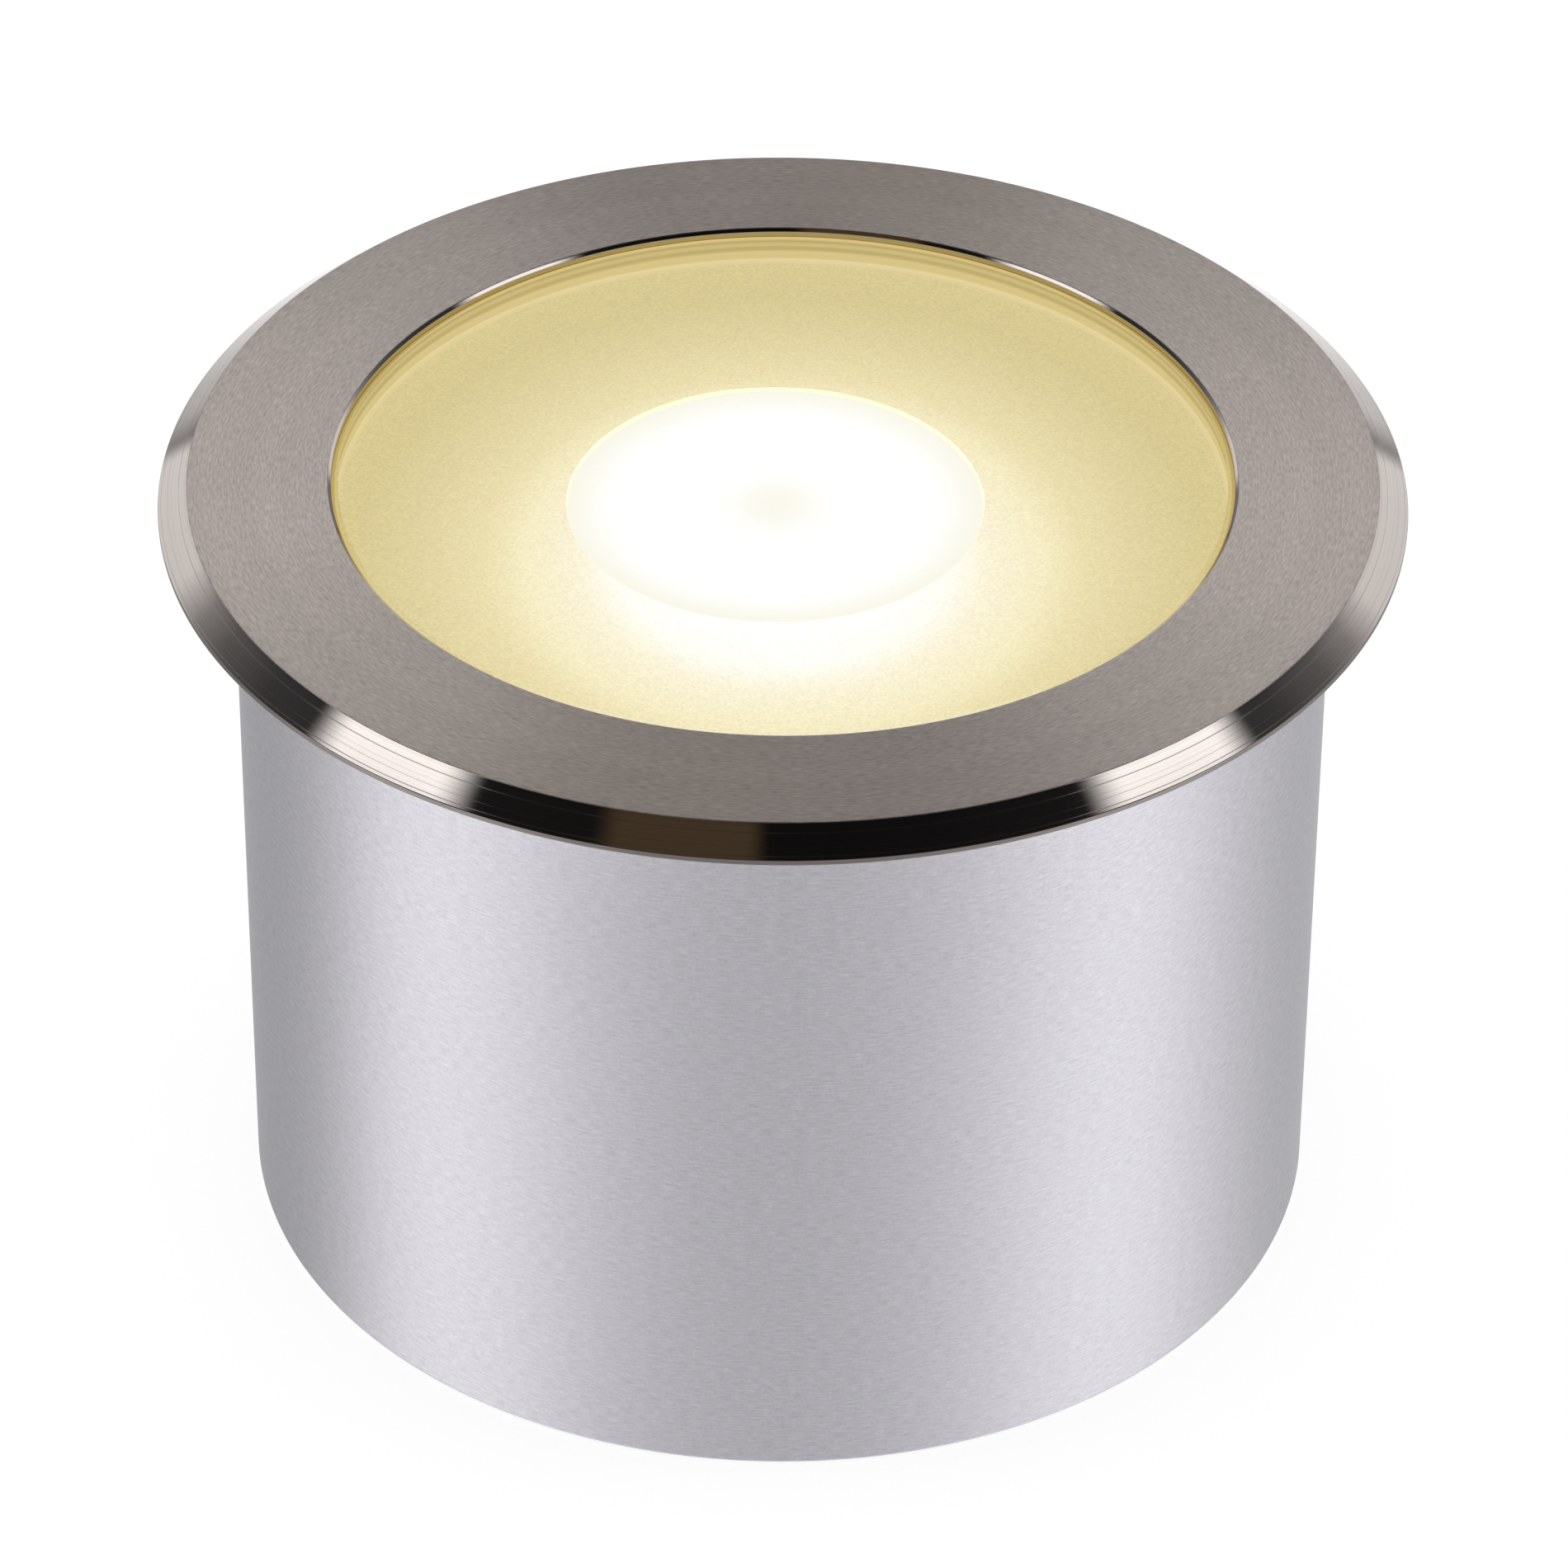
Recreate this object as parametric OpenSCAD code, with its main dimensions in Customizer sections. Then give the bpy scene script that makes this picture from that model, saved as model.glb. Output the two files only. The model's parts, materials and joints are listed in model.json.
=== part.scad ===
// In ground well light: a round luminaire for a hole in paving.
// Its body stands on its own bottom edge. The trim ring, glass and collar unscrew as one cover.
// The origin is at the middle of the body's bottom edge, with +Z up.

/* [Trim ring] */
// Outside diameter of the trim ring
ring_d = 130; // [125:1:150]
// Thickness of the ring's plate
ring_t = 3; // [2.8:0.1:4]
// Width of the ring's chamfer, seen from above
chamfer_w = 3.1; // [1:0.1:4]
// Drop of the ring's chamfer
chamfer_h = 2.4; // [1:0.1:2.6]
// Width of the ring from its opening to its outer edge
ring_w = 18; // [17.6:0.2:20]
// How far the ring stands out over the body
overhang = 7.6; // [7:0.1:8]
// Width of the relief groove where the ring meets the body
relief_groove_w = 1; // [0.4:0.1:1.5]

/* [Glass] */
// Thickness of the glass
glass_t = 8; // [6:0.5:9]
// Depth of the glass's top face below the ring's top face
glass_sink = 0.5; // [0.2:0.1:1]
// Width of the sealant between the glass and the ring
sealant_w = 0.35; // [0.2:0.05:0.6]
// Width of the ground edge of the glass
arris_w = 0.4; // [0.2:0.1:0.8]
// Thickness of the gasket under the glass
gasket_t = 1; // [0.6:0.1:1.5]

/* [Collar] */
// Width of the lip that carries the glass
lip_w = 4; // [3:0.2:5]
// Thickness of that lip
lip_t = 2; // [1.5:0.1:3]
// Radial play of the collar's thread in the body
thread_gap = 0.1; // [0.05:0.01:0.15]
// Diameter of the seal ring's cord
cord_d = 1.6; // [1.2:0.1:1.8]
// Number of screws that hold the trim ring on the collar
collar_screws = 6; // [3:1:8]

/* [Body] */
// Height from the body's bottom edge to the ring's top face
total_h = 86.5; // [79:0.5:110]
// Wall of the body
body_wall = 2.5; // [2:0.1:2.8]
// Height of the driver's room, from the bottom cover to the heat sink's fins
room_h = 14.4; // [14.2:0.1:17]
// Width of the shelf that the bottom cover is screwed against
shelf_w = 10.4; // [9.8:0.1:11]
// Thickness of that shelf
shelf_t = 6; // [5:0.5:7]
// Width of the ledge that carries the heat sink
ledge_w = 6.5; // [6:0.1:8]
// Thickness of that ledge
ledge_t = 4; // [3.8:0.1:4.5]

/* [Light source] */
// Diameter of the diffuser disc
disc_d = 43.6; // [40:0.2:46]
// Thickness of the diffuser disc
disc_t = 1.5; // [1:0.1:2]
// How far the light source sits to the left of the axis
optic_shift = 0.8; // [0:0.1:1.5]
// Height of the reflector below its disc
reflector_h = 17.5; // [16:0.5:19]
// Radius of the reflector's throat
throat_r = 6.5; // [6.2:0.1:7]
// Side of the square light source
led_side = 15; // [13:0.5:16]
// Radius of the round circuit board
board_r = 23.5; // [22.5:0.1:25]

/* [Heat sink] */
// Thickness of the heat sink's plate
sink_t = 4; // [3.6:0.1:4.5]
// Height of its fins
fin_h = 3.5; // [2:0.1:3.8]
// Thickness of a fin
fin_t = 2; // [1.2:0.1:2.5]
// Distance from fin to fin
fin_pitch = 6; // [4:0.5:8]

/* [Driver] */
// Length of the driver's case, as a share of the shelf's inner radius
driver_l_share = 1.17; // [1.1:0.01:1.2]
// Width of the driver's case, as a share of its length
driver_w_share = 0.5; // [0.46:0.01:0.52]
// Height of the driver's case with its lid
driver_h = 13; // [11:0.5:13]
// Wall of the driver's case
driver_wall = 1.4; // [1:0.1:1.6]

/* [Bottom cover] */
// Thickness of the bottom cover
bottom_t = 5; // [4.6:0.1:5.2]
// Depth of the pockets cast into its underside
pocket_d = 1.2; // [0.6:0.1:1.4]
// Number of screws in the bottom cover
bottom_screws_n = 6; // [4:1:8]

/* [Cable gland] */
// Distance across the flats of the gland's nut and body
gland_af = 20; // [19:0.5:22]
// Radius of the gland's thread
gland_r = 7.9; // [7.6:0.1:8.2]
// Radius of the cable's way through the gland's seal
cable_r = 3.6; // [2.5:0.1:4]
// Height of the gland's cap nut
cap_h = 13; // [12:0.5:14]

/* [Hidden] */
$fn = 96;

// Overrun of every cut
over = 1;
// Play between pieces that lie face to face
play = 0.05;
// Play between pieces that are only near each other
loose = 0.3;
// Play round a screw's shank in its hole
screw_play = 0.05;

// Small screws with a round head and a hexagon socket
small_r = 1.5;
small_head_r = 2.75;
small_head_h = 2.4;
// Larger screws of the same form
large_r = 2;
large_head_r = 3.5;
large_head_h = 2.6;
// A socket's radius and depth as shares of the head's
socket_r_share = 0.55;
socket_h_share = 0.55;
// A head's edge break as a share of its height
head_break_share = 0.2;

// Cover, from the ring's top face downwards
ring_r = ring_d / 2;
opening_r = ring_r - ring_w;
body_r = ring_r - overhang;
bore_r = body_r - body_wall;
ring_z = total_h - ring_t;
ring_break = 0.15;
relief_groove_h = 0.4;
relief_lap = 1.2;
glass_z1 = total_h - glass_sink;
glass_z0 = glass_z1 - glass_t;
glass_r = opening_r - sealant_w;
sealant_z1 = glass_z1 - arris_w;
collar_seat_z = glass_z0 - gasket_t;
collar_z = collar_seat_z - lip_t;
collar_r = bore_r - thread_gap;
collar_break = 0.8;
// The collar's pocket widens a little above the glass's lower half
relief_w = 0.6;
relief_h_share = 0.5;
relief_z = ring_z - (ring_z - glass_z0) * relief_h_share;
gasket_w_share = 0.85;
gasket_r = glass_r - lip_w * gasket_w_share;

// Seal ring in the collar's side groove
groove_w = cord_d + 2 * play;
groove_drop = 1.2;
seal_r = bore_r - play - cord_d / 2;
seal_z = ring_z - groove_drop - groove_w / 2;
groove_r = seal_r - cord_d / 2 - play;

// Screws from the collar into the trim ring
collar_screw_r = (opening_r + groove_r) / 2;
collar_sink_h = small_head_h + loose;
ring_hole_share = 0.75;
ring_hole_h = ring_t * ring_hole_share;

// Light source, downwards from the glass
disc_gap = 0.3;
disc_r = disc_d / 2;
disc_z1 = glass_z0 - disc_gap;
disc_z0 = disc_z1 - disc_t;
throat_z = disc_z0 - reflector_h;
reflector_wall = 1.2;
disc_seat_w = 0.8;
mouth_r = disc_r - disc_seat_w;
rim_drop = 0.5;
rim_r = disc_r + 2 * play + reflector_wall;
reflector_steps = 12;
led_t = 1;
phosphor_t = 0.4;
dam_w = 0.5;
phosphor_r = throat_r - dam_w - loose;
led_z = throat_z - loose - phosphor_t - led_t;
board_t = 1.6;
board_z = led_z - board_t;
pad_t = 0.5;
sink_z1 = board_z - pad_t;
sink_z0 = sink_z1 - sink_t;

// Holder that screws the reflector and the board down
flange_t = 2;
flange_set_back = 2.25;
flange_r = board_r - flange_set_back;
holder_h = 5;
holder_r = flange_r - 2 * small_head_r - loose;
board_screw_r = flange_r - small_head_r;
board_screw_angle = 90;
board_screws_n = 3;
notch_w = 12;
sink_hole_share = 0.75;

// Heat sink and the body's ledge
sink_r = bore_r - loose;
ledge_r = bore_r - ledge_w;
ledge_z = sink_z0 - ledge_t;
sink_screw_r = (ledge_r + bore_r) / 2;
sink_screws_n = 4;
sink_screw_angle = 45;
fin_field_r = ledge_r - 2 * fin_t;
fins_n = floor(fin_field_r / fin_pitch);
ledge_hole_share = 0.8;
grommet_y = -30;
grommet_r = 4;
grommet_lip = 1;
grommet_keep_r = grommet_r + 2 * grommet_lip;

// Bottom cover, its seal and the body's shelf
bottom_z1 = sink_z0 - fin_h - room_h;
recess_h = bottom_z1 - bottom_t;
bottom_r = bore_r - loose - play;
shelf_r = bore_r - shelf_w;
shelf_z1 = bottom_z1 + shelf_t;
bottom_cord_d = 1.4;
groove_land = 0.8;
bottom_groove_r0 = shelf_r + groove_land;
bottom_groove_r1 = bottom_groove_r0 + bottom_cord_d + 2 * play;
bottom_screw_r = (bottom_groove_r1 + bore_r) / 2;
bottom_screw_angle = 30;
shelf_hole_share = 0.8;
base_hole_share = 0.6;
base_hole_h = bottom_t * base_hole_share;
pocket_rim_share = 0.84;
pocket_hub_share = 0.2;
pocket_rib_t = 3;
pockets_n = 12;
body_break = 0.4;
ring_slope = 1;

// Places on the bottom cover, as shares of the shelf's inner radius
driver_y_share = 0.472;
gland_place_share = 0.4045;
pole_pitch_share = 0.18;
block_x_share = 0.4045;
block_y_share = 0.4945;
earth_x_share = 0.0225;
earth_y_share = 0.1575;

// Cable gland in the bottom cover
gland_x = -shelf_r * gland_place_share;
gland_y = -shelf_r * gland_place_share;
gland_washer_t = 1;
gland_hex_h = 5;
gland_nose_h = 8;
gland_nut_h = 5;
gland_stand = 1;
hex_break = 0.85;
gland_bore_r = 4.6;
gland_chamber_r = 6.2;
gland_hex_z1 = recess_h - gland_washer_t;
gland_hex_z0 = gland_hex_z1 - gland_hex_h;
gland_nose_z = gland_hex_z0 - gland_nose_h;
gland_top_z = bottom_z1 + gland_nut_h + gland_stand;
cap_gap = 0.5;
cap_z1 = gland_hex_z0 - cap_gap;
cap_z0 = cap_z1 - cap_h;
cap_floor_t = 1.5;
cap_r = gland_r + thread_gap;
cap_hex_share = 0.58;
cap_nose_share = 0.7;
cap_mouth_play = 1.2;
cap_mouth_r = cable_r + cap_mouth_play;
clamp_h = 4.2;
clamp_wall = 1.6;
clamp_slots = 8;
clamp_slot_w = 0.8;
clamp_base_share = 0.3;
clamp_z = cap_z0 + cap_floor_t + play;
bush_z0 = clamp_z + clamp_h + play;
bush_h = 7;
bush_taper = 1;
across_corners = 2 / sqrt(3);

// Driver on the bottom cover
driver_l = shelf_r * driver_l_share;
driver_w = driver_l * driver_w_share;
driver_y = shelf_r * driver_y_share;
driver_corner = 3;
driver_lid_t = 1.4;
driver_z1 = bottom_z1 + driver_h;
driver_lid_z = driver_z1 - driver_lid_t;
tab_w = 8;
tab_t = 2;
tab_x = driver_l / 2 + small_head_r + loose;
circuit_t = 1.2;
circuit_stand = 1.5;
circuit_z = bottom_z1 + driver_wall + circuit_stand;
circuit_z1 = circuit_z + circuit_t;
post_r = 2;
lead_r = 0.9;
lead_hole_r = lead_r + loose + 2 * play;
lead_hole_z = (circuit_z1 + driver_lid_z) / 2;
lead_pitch = 4;
// Pieces on the driver's board, as shares of its room
core_h_share = 0.8;
core_l_share = 0.25;
coil_w_share = 0.67;
coil_h_share = 0.83;
can_r_share = 0.11;
can_x_share = 0.2;
chip_share = 0.16;
chip_x_share = 0.083;

// Terminal block beside the gland
pole_pitch = shelf_r * pole_pitch_share;
poles = 3;
block_w = 2 * pole_pitch;
block_h = 11;
block_base_h = 3;
block_x = shelf_r * block_x_share;
block_y = -shelf_r * block_y_share;
tower_share = 0.82;
tower_w = pole_pitch * tower_share;
clamp_tube_r = 2.2;
clamp_tube_bore = 1.4;
clamp_tube_share = 0.75;
block_l = poles * pole_pitch;
lug_x = block_l / 2 + small_head_r + loose;
wire_z = bottom_z1 + block_h / 2;
pole_screw_r = 1.2;
pole_slot_w = 0.4;
pole_screw_gap_share = 0.25;

// Earth connection
earth_x = shelf_r * earth_x_share;
earth_y = -shelf_r * earth_y_share;
tag_t = 0.8;
tag_r = 4;
tag_barrel_r = 1.6;
tag_barrel_l = 4;

// Screws that stand on the bottom cover: the driver's two and the terminal block's two
base_screw_places = [[tab_x, driver_y, tab_t], [-tab_x, driver_y, tab_t],
    [block_x - lug_x, block_y, block_base_h], [block_x + lug_x, block_y, block_base_h]];

// Heights above the bottom cover that the leads run to
circuit_up = circuit_z1 - bottom_z1;
hole_up = lead_hole_z - bottom_z1;
led_up = led_z - bottom_z1;
wire_up = block_h / 2;
tag_up = tag_barrel_r;

// Routes of the inner leads above the bottom cover, as points chosen by hand
led_route_left = [[-17, 23, circuit_up], [-17, 23, 5.4], [-18, 23, 7], [-21, 23, hole_up],
    [-29, 23, hole_up], [-34.6, 17.4, 9.6], [-38, 2, 11], [-34, -14, 11], [-22, -27, 11],
    [-10, -33, 12], [-2.4, -31.4, 15], [-1.6, grommet_y, 19], [-1.6, grommet_y, 24], [-2.2, -27.6, 27.6],
    [-3, -23, 28.6], [-3.2, -20.4, 27.2], [-3.2, -19.6, 25.4], [-3.2, -19.6, led_up]];
led_route_right = [[-17, 19, circuit_up], [-17, 19, 5.4], [-18, 19, 7], [-21, 19, hole_up],
    [-29, 19, hole_up], [-32.6, 13.6, 9.4], [-35, 2, 11], [-31.2, -12.6, 11], [-19.4, -24.2, 11],
    [-8, -29, 12], [-0.6, -28.8, 15], [1.6, grommet_y, 19], [1.6, grommet_y, 24], [2.2, -27.6, 27.6],
    [3, -23, 28.6], [3.2, -20.4, 27.2], [3.2, -19.6, 25.4], [3.2, -19.6, led_up]];
live_route = [[26, -18, wire_up], [26, -11, wire_up], [28.6, -4, 7], [34, 6, 8.4], [33, 15, 8.4],
    [29, 19, hole_up], [21, 19, hole_up], [18, 19, 7], [17, 19, 5.4], [17, 19, circuit_up]];
neutral_route = [[18, -18, wire_up], [18, -11, wire_up], [22.6, -3, 8], [36, 5, 11], [37, 16, 10.6],
    [31, 22, 8.4], [27, 23, hole_up], [21, 23, hole_up], [18, 23, 7], [17, 23, 5.4],
    [17, 23, circuit_up]];
earth_route = [[10, -18, wire_up], [10, -13, wire_up], [11.6, -9.4, 6.8], [15.4, -7.6, 6.6],
    [17.4, -7, 4.2], [15.6, -7, 2], [12.4, -7, tag_up], [9, -7, tag_up], [6, -7, tag_up]];
route_steps = 4;
lead_sides = 8;

// Path through points, as a smooth curve
function blend_at(a, b, c, d, t) = (2 * b + (c - a) * t + (2 * a - 5 * b + 4 * c - d) * t * t
    + (3 * b - a - 3 * c + d) * t * t * t) / 2;
function smooth(p, n) = [for (i = [0:len(p) - 2], j = [0:n - 1])
    blend_at(p[max(i - 1, 0)], p[i], p[i + 1], p[min(i + 2, len(p) - 1)], j / n), p[len(p) - 1]];
function unit(v) = v / norm(v);
function headings(p, q) = [for (i = [0:len(p) - 1]) i == 0 ? unit(q[1] - q[0])
    : i == len(p) - 1 ? unit(q[len(q) - 1] - q[len(q) - 2]) : unit(p[i + 1] - p[i - 1])];
function square_to(side, dir) = unit(side - (side * dir) * dir);
function carried(dirs, side, i = 0) = i == len(dirs) ? []
    : let (s = square_to(side, dirs[i])) concat([s], carried(dirs, s, i + 1));

// Height share to radius of the reflector's paraboloid
function bowl_r(share) = sqrt(throat_r * throat_r + (mouth_r * mouth_r - throat_r * throat_r) * share);

// Lead along a route
module lead(route) {
    path = smooth(route, route_steps);
    dirs = headings(path, route);
    sides = carried(dirs, cross(dirs[0], [1, 2, 3]));
    points = [for (i = [0:len(path) - 1], j = [0:lead_sides - 1])
        let (a = j * 360 / lead_sides, s = sides[i], u = cross(dirs[i], s))
        path[i] + lead_r * (cos(a) * s + sin(a) * u)];
    skin = [for (i = [0:len(path) - 2], j = [0:lead_sides - 1], half = [0, 1])
        let (k = (j + 1) % lead_sides, a = i * lead_sides, b = a + lead_sides)
        half == 0 ? [a + j, b + j, b + k] : [a + j, b + k, a + k]];
    first = [for (j = [0:lead_sides - 1]) j];
    last = [for (j = [lead_sides - 1:-1:0]) (len(path) - 1) * lead_sides + j];
    translate([0, 0, bottom_z1]) polyhedron(points, concat(skin, [first, last]));
}

// Copies in a circle
module around(n, r, turn = 0) {
    for (i = [0:n - 1]) rotate(turn + i * 360 / n) translate([r, 0, 0]) children();
}

// Round wall from one height to another
module wall(r_out, r_in, z0, z1) {
    translate([0, 0, z0]) difference() {
        cylinder(r = r_out, h = z1 - z0);
        translate([0, 0, -over]) cylinder(r = r_in, h = z1 - z0 + 2 * over);
    }
}

// Round rod from one height to another
module rod(r, z0, z1) {
    translate([0, 0, z0]) cylinder(r = r, h = z1 - z0);
}

// Block with round upright corners
module round_block(l, w, h, corner) {
    translate([-l / 2 + corner, -w / 2, 0]) cube([l - 2 * corner, w, h]);
    translate([-l / 2, -w / 2 + corner, 0]) cube([l, w - 2 * corner, h]);
    for (x = [-1, 1], y = [-1, 1])
        translate([x * (l / 2 - corner), y * (w / 2 - corner), 0]) cylinder(r = corner, h = h);
}

// Hexagon block by its distance across flats
module hexagon(af, h) {
    cylinder(r = af * across_corners / 2, h = h, $fn = 6);
}

// Screw with its head above zero and its shank below
module screw(r, l, head_r, head_h) {
    edge = head_h * head_break_share;
    difference() {
        union() {
            translate([0, 0, -l]) cylinder(r = r, h = l + edge);
            cylinder(r = head_r, h = head_h - edge);
            translate([0, 0, head_h - edge]) cylinder(r1 = head_r, r2 = head_r - edge, h = edge);
        }
        translate([0, 0, head_h - head_h * socket_h_share])
            cylinder(r = head_r * socket_r_share, h = head_h, $fn = 6);
    }
}

module small_screw(l) {
    screw(small_r, l, small_head_r, small_head_h);
}

module large_screw(l) {
    screw(large_r, l, large_head_r, large_head_h);
}

// Trim ring: one turned plate with a wide chamfer over a thin land and a relief groove below
module trim_ring() {
    color("silver") difference() {
        rotate_extrude() polygon([[opening_r, ring_z], [body_r - relief_lap, ring_z],
            [body_r - relief_lap, ring_z + relief_groove_h],
            [body_r + relief_groove_w, ring_z + relief_groove_h], [body_r + relief_groove_w, ring_z],
            [ring_r, ring_z], [ring_r, total_h - chamfer_h],
            [ring_r - chamfer_w, total_h], [opening_r + ring_break, total_h],
            [opening_r, total_h - ring_break]]);
        around(collar_screws, collar_screw_r)
            translate([0, 0, ring_z - over]) cylinder(r = small_r + screw_play, h = ring_hole_h + over);
    }
}

// Collar: screws into the body, with a lip for the glass and a groove for its seal ring
module glass_carrier() {
    lip_r = opening_r - lip_w;
    color("lightgray") difference() {
        rotate_extrude() polygon([[lip_r, collar_z], [collar_r - collar_break, collar_z],
            [collar_r, collar_z + collar_break], [collar_r, seal_z - groove_w / 2],
            [groove_r, seal_z - groove_w / 2], [groove_r, seal_z + groove_w / 2],
            [collar_r, seal_z + groove_w / 2], [collar_r, ring_z], [opening_r + relief_w, ring_z],
            [opening_r + relief_w, relief_z], [opening_r, relief_z - relief_w],
            [opening_r, collar_seat_z], [lip_r, collar_seat_z]]);
        around(collar_screws, collar_screw_r) {
            rod(small_head_r + play, collar_z - over, collar_z + collar_sink_h);
            rod(small_r + screw_play, collar_z, ring_z + over);
        }
    }
}

module carrier_screws() {
    color("silver") around(collar_screws, collar_screw_r)
        translate([0, 0, collar_z + collar_sink_h]) rotate([180, 0, 0])
            small_screw(ring_z - collar_z - collar_sink_h + ring_hole_h - loose);
}

// Glass with ground edges
module glass() {
    color("lightyellow") rotate_extrude() polygon([[0, glass_z0], [glass_r - arris_w, glass_z0],
        [glass_r, glass_z0 + arris_w], [glass_r, glass_z1 - arris_w],
        [glass_r - arris_w, glass_z1], [0, glass_z1]]);
}

// Bead of sealant between the glass and the ring's bore, sloping down to the glass
module glass_sealant() {
    color("dimgray") rotate_extrude() polygon([[glass_r, ring_z], [opening_r, ring_z],
        [opening_r, sealant_z1], [glass_r, sealant_z1 - sealant_w / 2]]);
}

module glass_gasket() {
    color("white") wall(glass_r, gasket_r, collar_seat_z, glass_z0);
}

// Seal ring between the collar and the body
module cover_seal() {
    color("black") rotate_extrude() translate([seal_r, seal_z]) circle(r = cord_d / 2, $fn = 32);
}

// Body: a plain round tube with its bottom edge broken
module body_tube() {
    color("lightsteelblue") rotate_extrude() polygon([[bore_r, 0], [body_r - body_break, 0],
        [body_r, body_break], [body_r, ring_z], [bore_r, ring_z]]);
}

// Shelf ring, welded into the tube: the bottom cover is screwed against it from below
module shelf_ring() {
    edge_r = bore_r - play;
    color("gray") difference() {
        rotate_extrude() polygon([[shelf_r, bottom_z1], [edge_r, bottom_z1], [edge_r, shelf_z1],
            [shelf_r + ring_slope, shelf_z1], [shelf_r, shelf_z1 - ring_slope]]);
        around(bottom_screws_n, bottom_screw_r, bottom_screw_angle)
            rod(large_r + screw_play, bottom_z1 - over, bottom_z1 + shelf_t * shelf_hole_share);
    }
}

// Ledge ring, welded into the tube: the heat sink lies on it
module ledge_ring() {
    edge_r = bore_r - play;
    color("gray") difference() {
        rotate_extrude() polygon([[ledge_r, ledge_z + ring_slope], [ledge_r + ring_slope, ledge_z],
            [edge_r, ledge_z], [edge_r, sink_z0], [ledge_r, sink_z0]]);
        around(sink_screws_n, sink_screw_r, sink_screw_angle)
            rod(small_r + screw_play, sink_z0 - ledge_t * ledge_hole_share, sink_z0 + over);
    }
}

// Opal disc in the reflector's mouth
module diffuser_disc() {
    color("ivory") translate([-optic_shift, 0, 0]) rod(disc_r, disc_z0, disc_z1);
}

// Solid of the reflector's outside, grown by a given play
module reflector_bulk(grow) {
    rotate_extrude() polygon(concat([[0, throat_z]],
        [for (i = [0:reflector_steps]) [bowl_r(i / reflector_steps) + reflector_wall + grow,
            throat_z + reflector_h * i / reflector_steps]], [[0, disc_z0]]));
}

// Reflector: a paraboloid cup with a seat for the disc in its rim
module reflector() {
    color("gainsboro") translate([-optic_shift, 0, 0]) rotate_extrude() polygon(concat(
        [for (i = [0:reflector_steps]) [bowl_r(i / reflector_steps),
            throat_z + reflector_h * i / reflector_steps]],
        [[disc_r + 2 * play, disc_z0], [disc_r + 2 * play, disc_z1 - rim_drop],
            [rim_r, disc_z1 - rim_drop], [rim_r, disc_z0 - reflector_wall]],
        [for (i = [reflector_steps - 1:-1:0]) [bowl_r(i / reflector_steps) + reflector_wall,
            throat_z + reflector_h * i / reflector_steps]]));
}

// Holder: presses the light source on the board and carries the reflector
module reflector_holder() {
    color("white") translate([-optic_shift, 0, 0]) difference() {
        union() {
            rod(flange_r, led_z, led_z + flange_t);
            rod(holder_r, led_z, throat_z + holder_h);
        }
        reflector_bulk(2 * play);
        rod(throat_r, led_z - over, throat_z + over);
        translate([-led_side / 2 - play, -led_side / 2 - play, led_z - over])
            cube([led_side + 2 * play, led_side + 2 * play, led_t + play + over]);
        translate([-notch_w / 2, -flange_r - over, led_z - over])
            cube([notch_w, flange_r - holder_r + over, flange_t + 2 * over]);
        around(board_screws_n, board_screw_r, board_screw_angle)
            rod(small_r + screw_play, led_z - over, led_z + flange_t + over);
    }
}

// Ceramic base of the light source with a dam round its phosphor
module led_package() {
    color("whitesmoke") translate([-optic_shift, 0, 0]) {
        translate([-led_side / 2, -led_side / 2, led_z]) cube([led_side, led_side, led_t]);
        wall(phosphor_r + dam_w, phosphor_r, led_z + led_t - play, led_z + led_t + phosphor_t);
    }
}

module led_phosphor() {
    color("gold") translate([-optic_shift, 0, 0])
        rod(phosphor_r, led_z + led_t, led_z + led_t + phosphor_t);
}

// Round circuit board with an aluminium core
module led_board() {
    color("white") translate([-optic_shift, 0, 0]) difference() {
        rod(board_r, board_z, led_z);
        around(board_screws_n, board_screw_r, board_screw_angle)
            rod(small_r + screw_play, board_z - over, led_z + over);
    }
}

module thermal_pad() {
    color("slategray") translate([-optic_shift, 0, 0]) difference() {
        rod(board_r, sink_z1, board_z);
        around(board_screws_n, board_screw_r, board_screw_angle)
            rod(small_r + screw_play, sink_z1 - over, board_z + over);
    }
}

module board_screws() {
    grip = led_z + flange_t - sink_z1;
    color("silver") translate([-optic_shift, 0, led_z + flange_t])
        around(board_screws_n, board_screw_r, board_screw_angle)
            small_screw(grip + sink_t * sink_hole_share - loose);
}

// Heat sink: a plate on the body's ledge with a field of fins below it
module heat_sink() {
    color("silver") difference() {
        union() {
            rod(sink_r, sink_z0, sink_z1);
            intersection() {
                rod(fin_field_r, sink_z0 - fin_h, sink_z0 + play);
                for (i = [-fins_n:fins_n])
                    translate([-fin_field_r, i * fin_pitch - fin_t / 2, sink_z0 - fin_h])
                        cube([2 * fin_field_r, fin_t, fin_h + play]);
            }
        }
        translate([0, grommet_y, 0]) rod(grommet_r, sink_z0 - over, sink_z1 + over);
        translate([0, grommet_y, 0]) rod(grommet_keep_r, sink_z0 - fin_h - over, sink_z0);
        around(sink_screws_n, sink_screw_r, sink_screw_angle)
            rod(small_r + screw_play, sink_z0 - over, sink_z1 + over);
        translate([-optic_shift, 0, 0]) around(board_screws_n, board_screw_r, board_screw_angle)
            rod(small_r + screw_play, sink_z1 - sink_t * sink_hole_share, sink_z1 + over);
    }
}

module heat_sink_screws() {
    color("silver") around(sink_screws_n, sink_screw_r, sink_screw_angle)
        translate([0, 0, sink_z1]) small_screw(sink_t + ledge_t * ledge_hole_share - loose);
}

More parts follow.
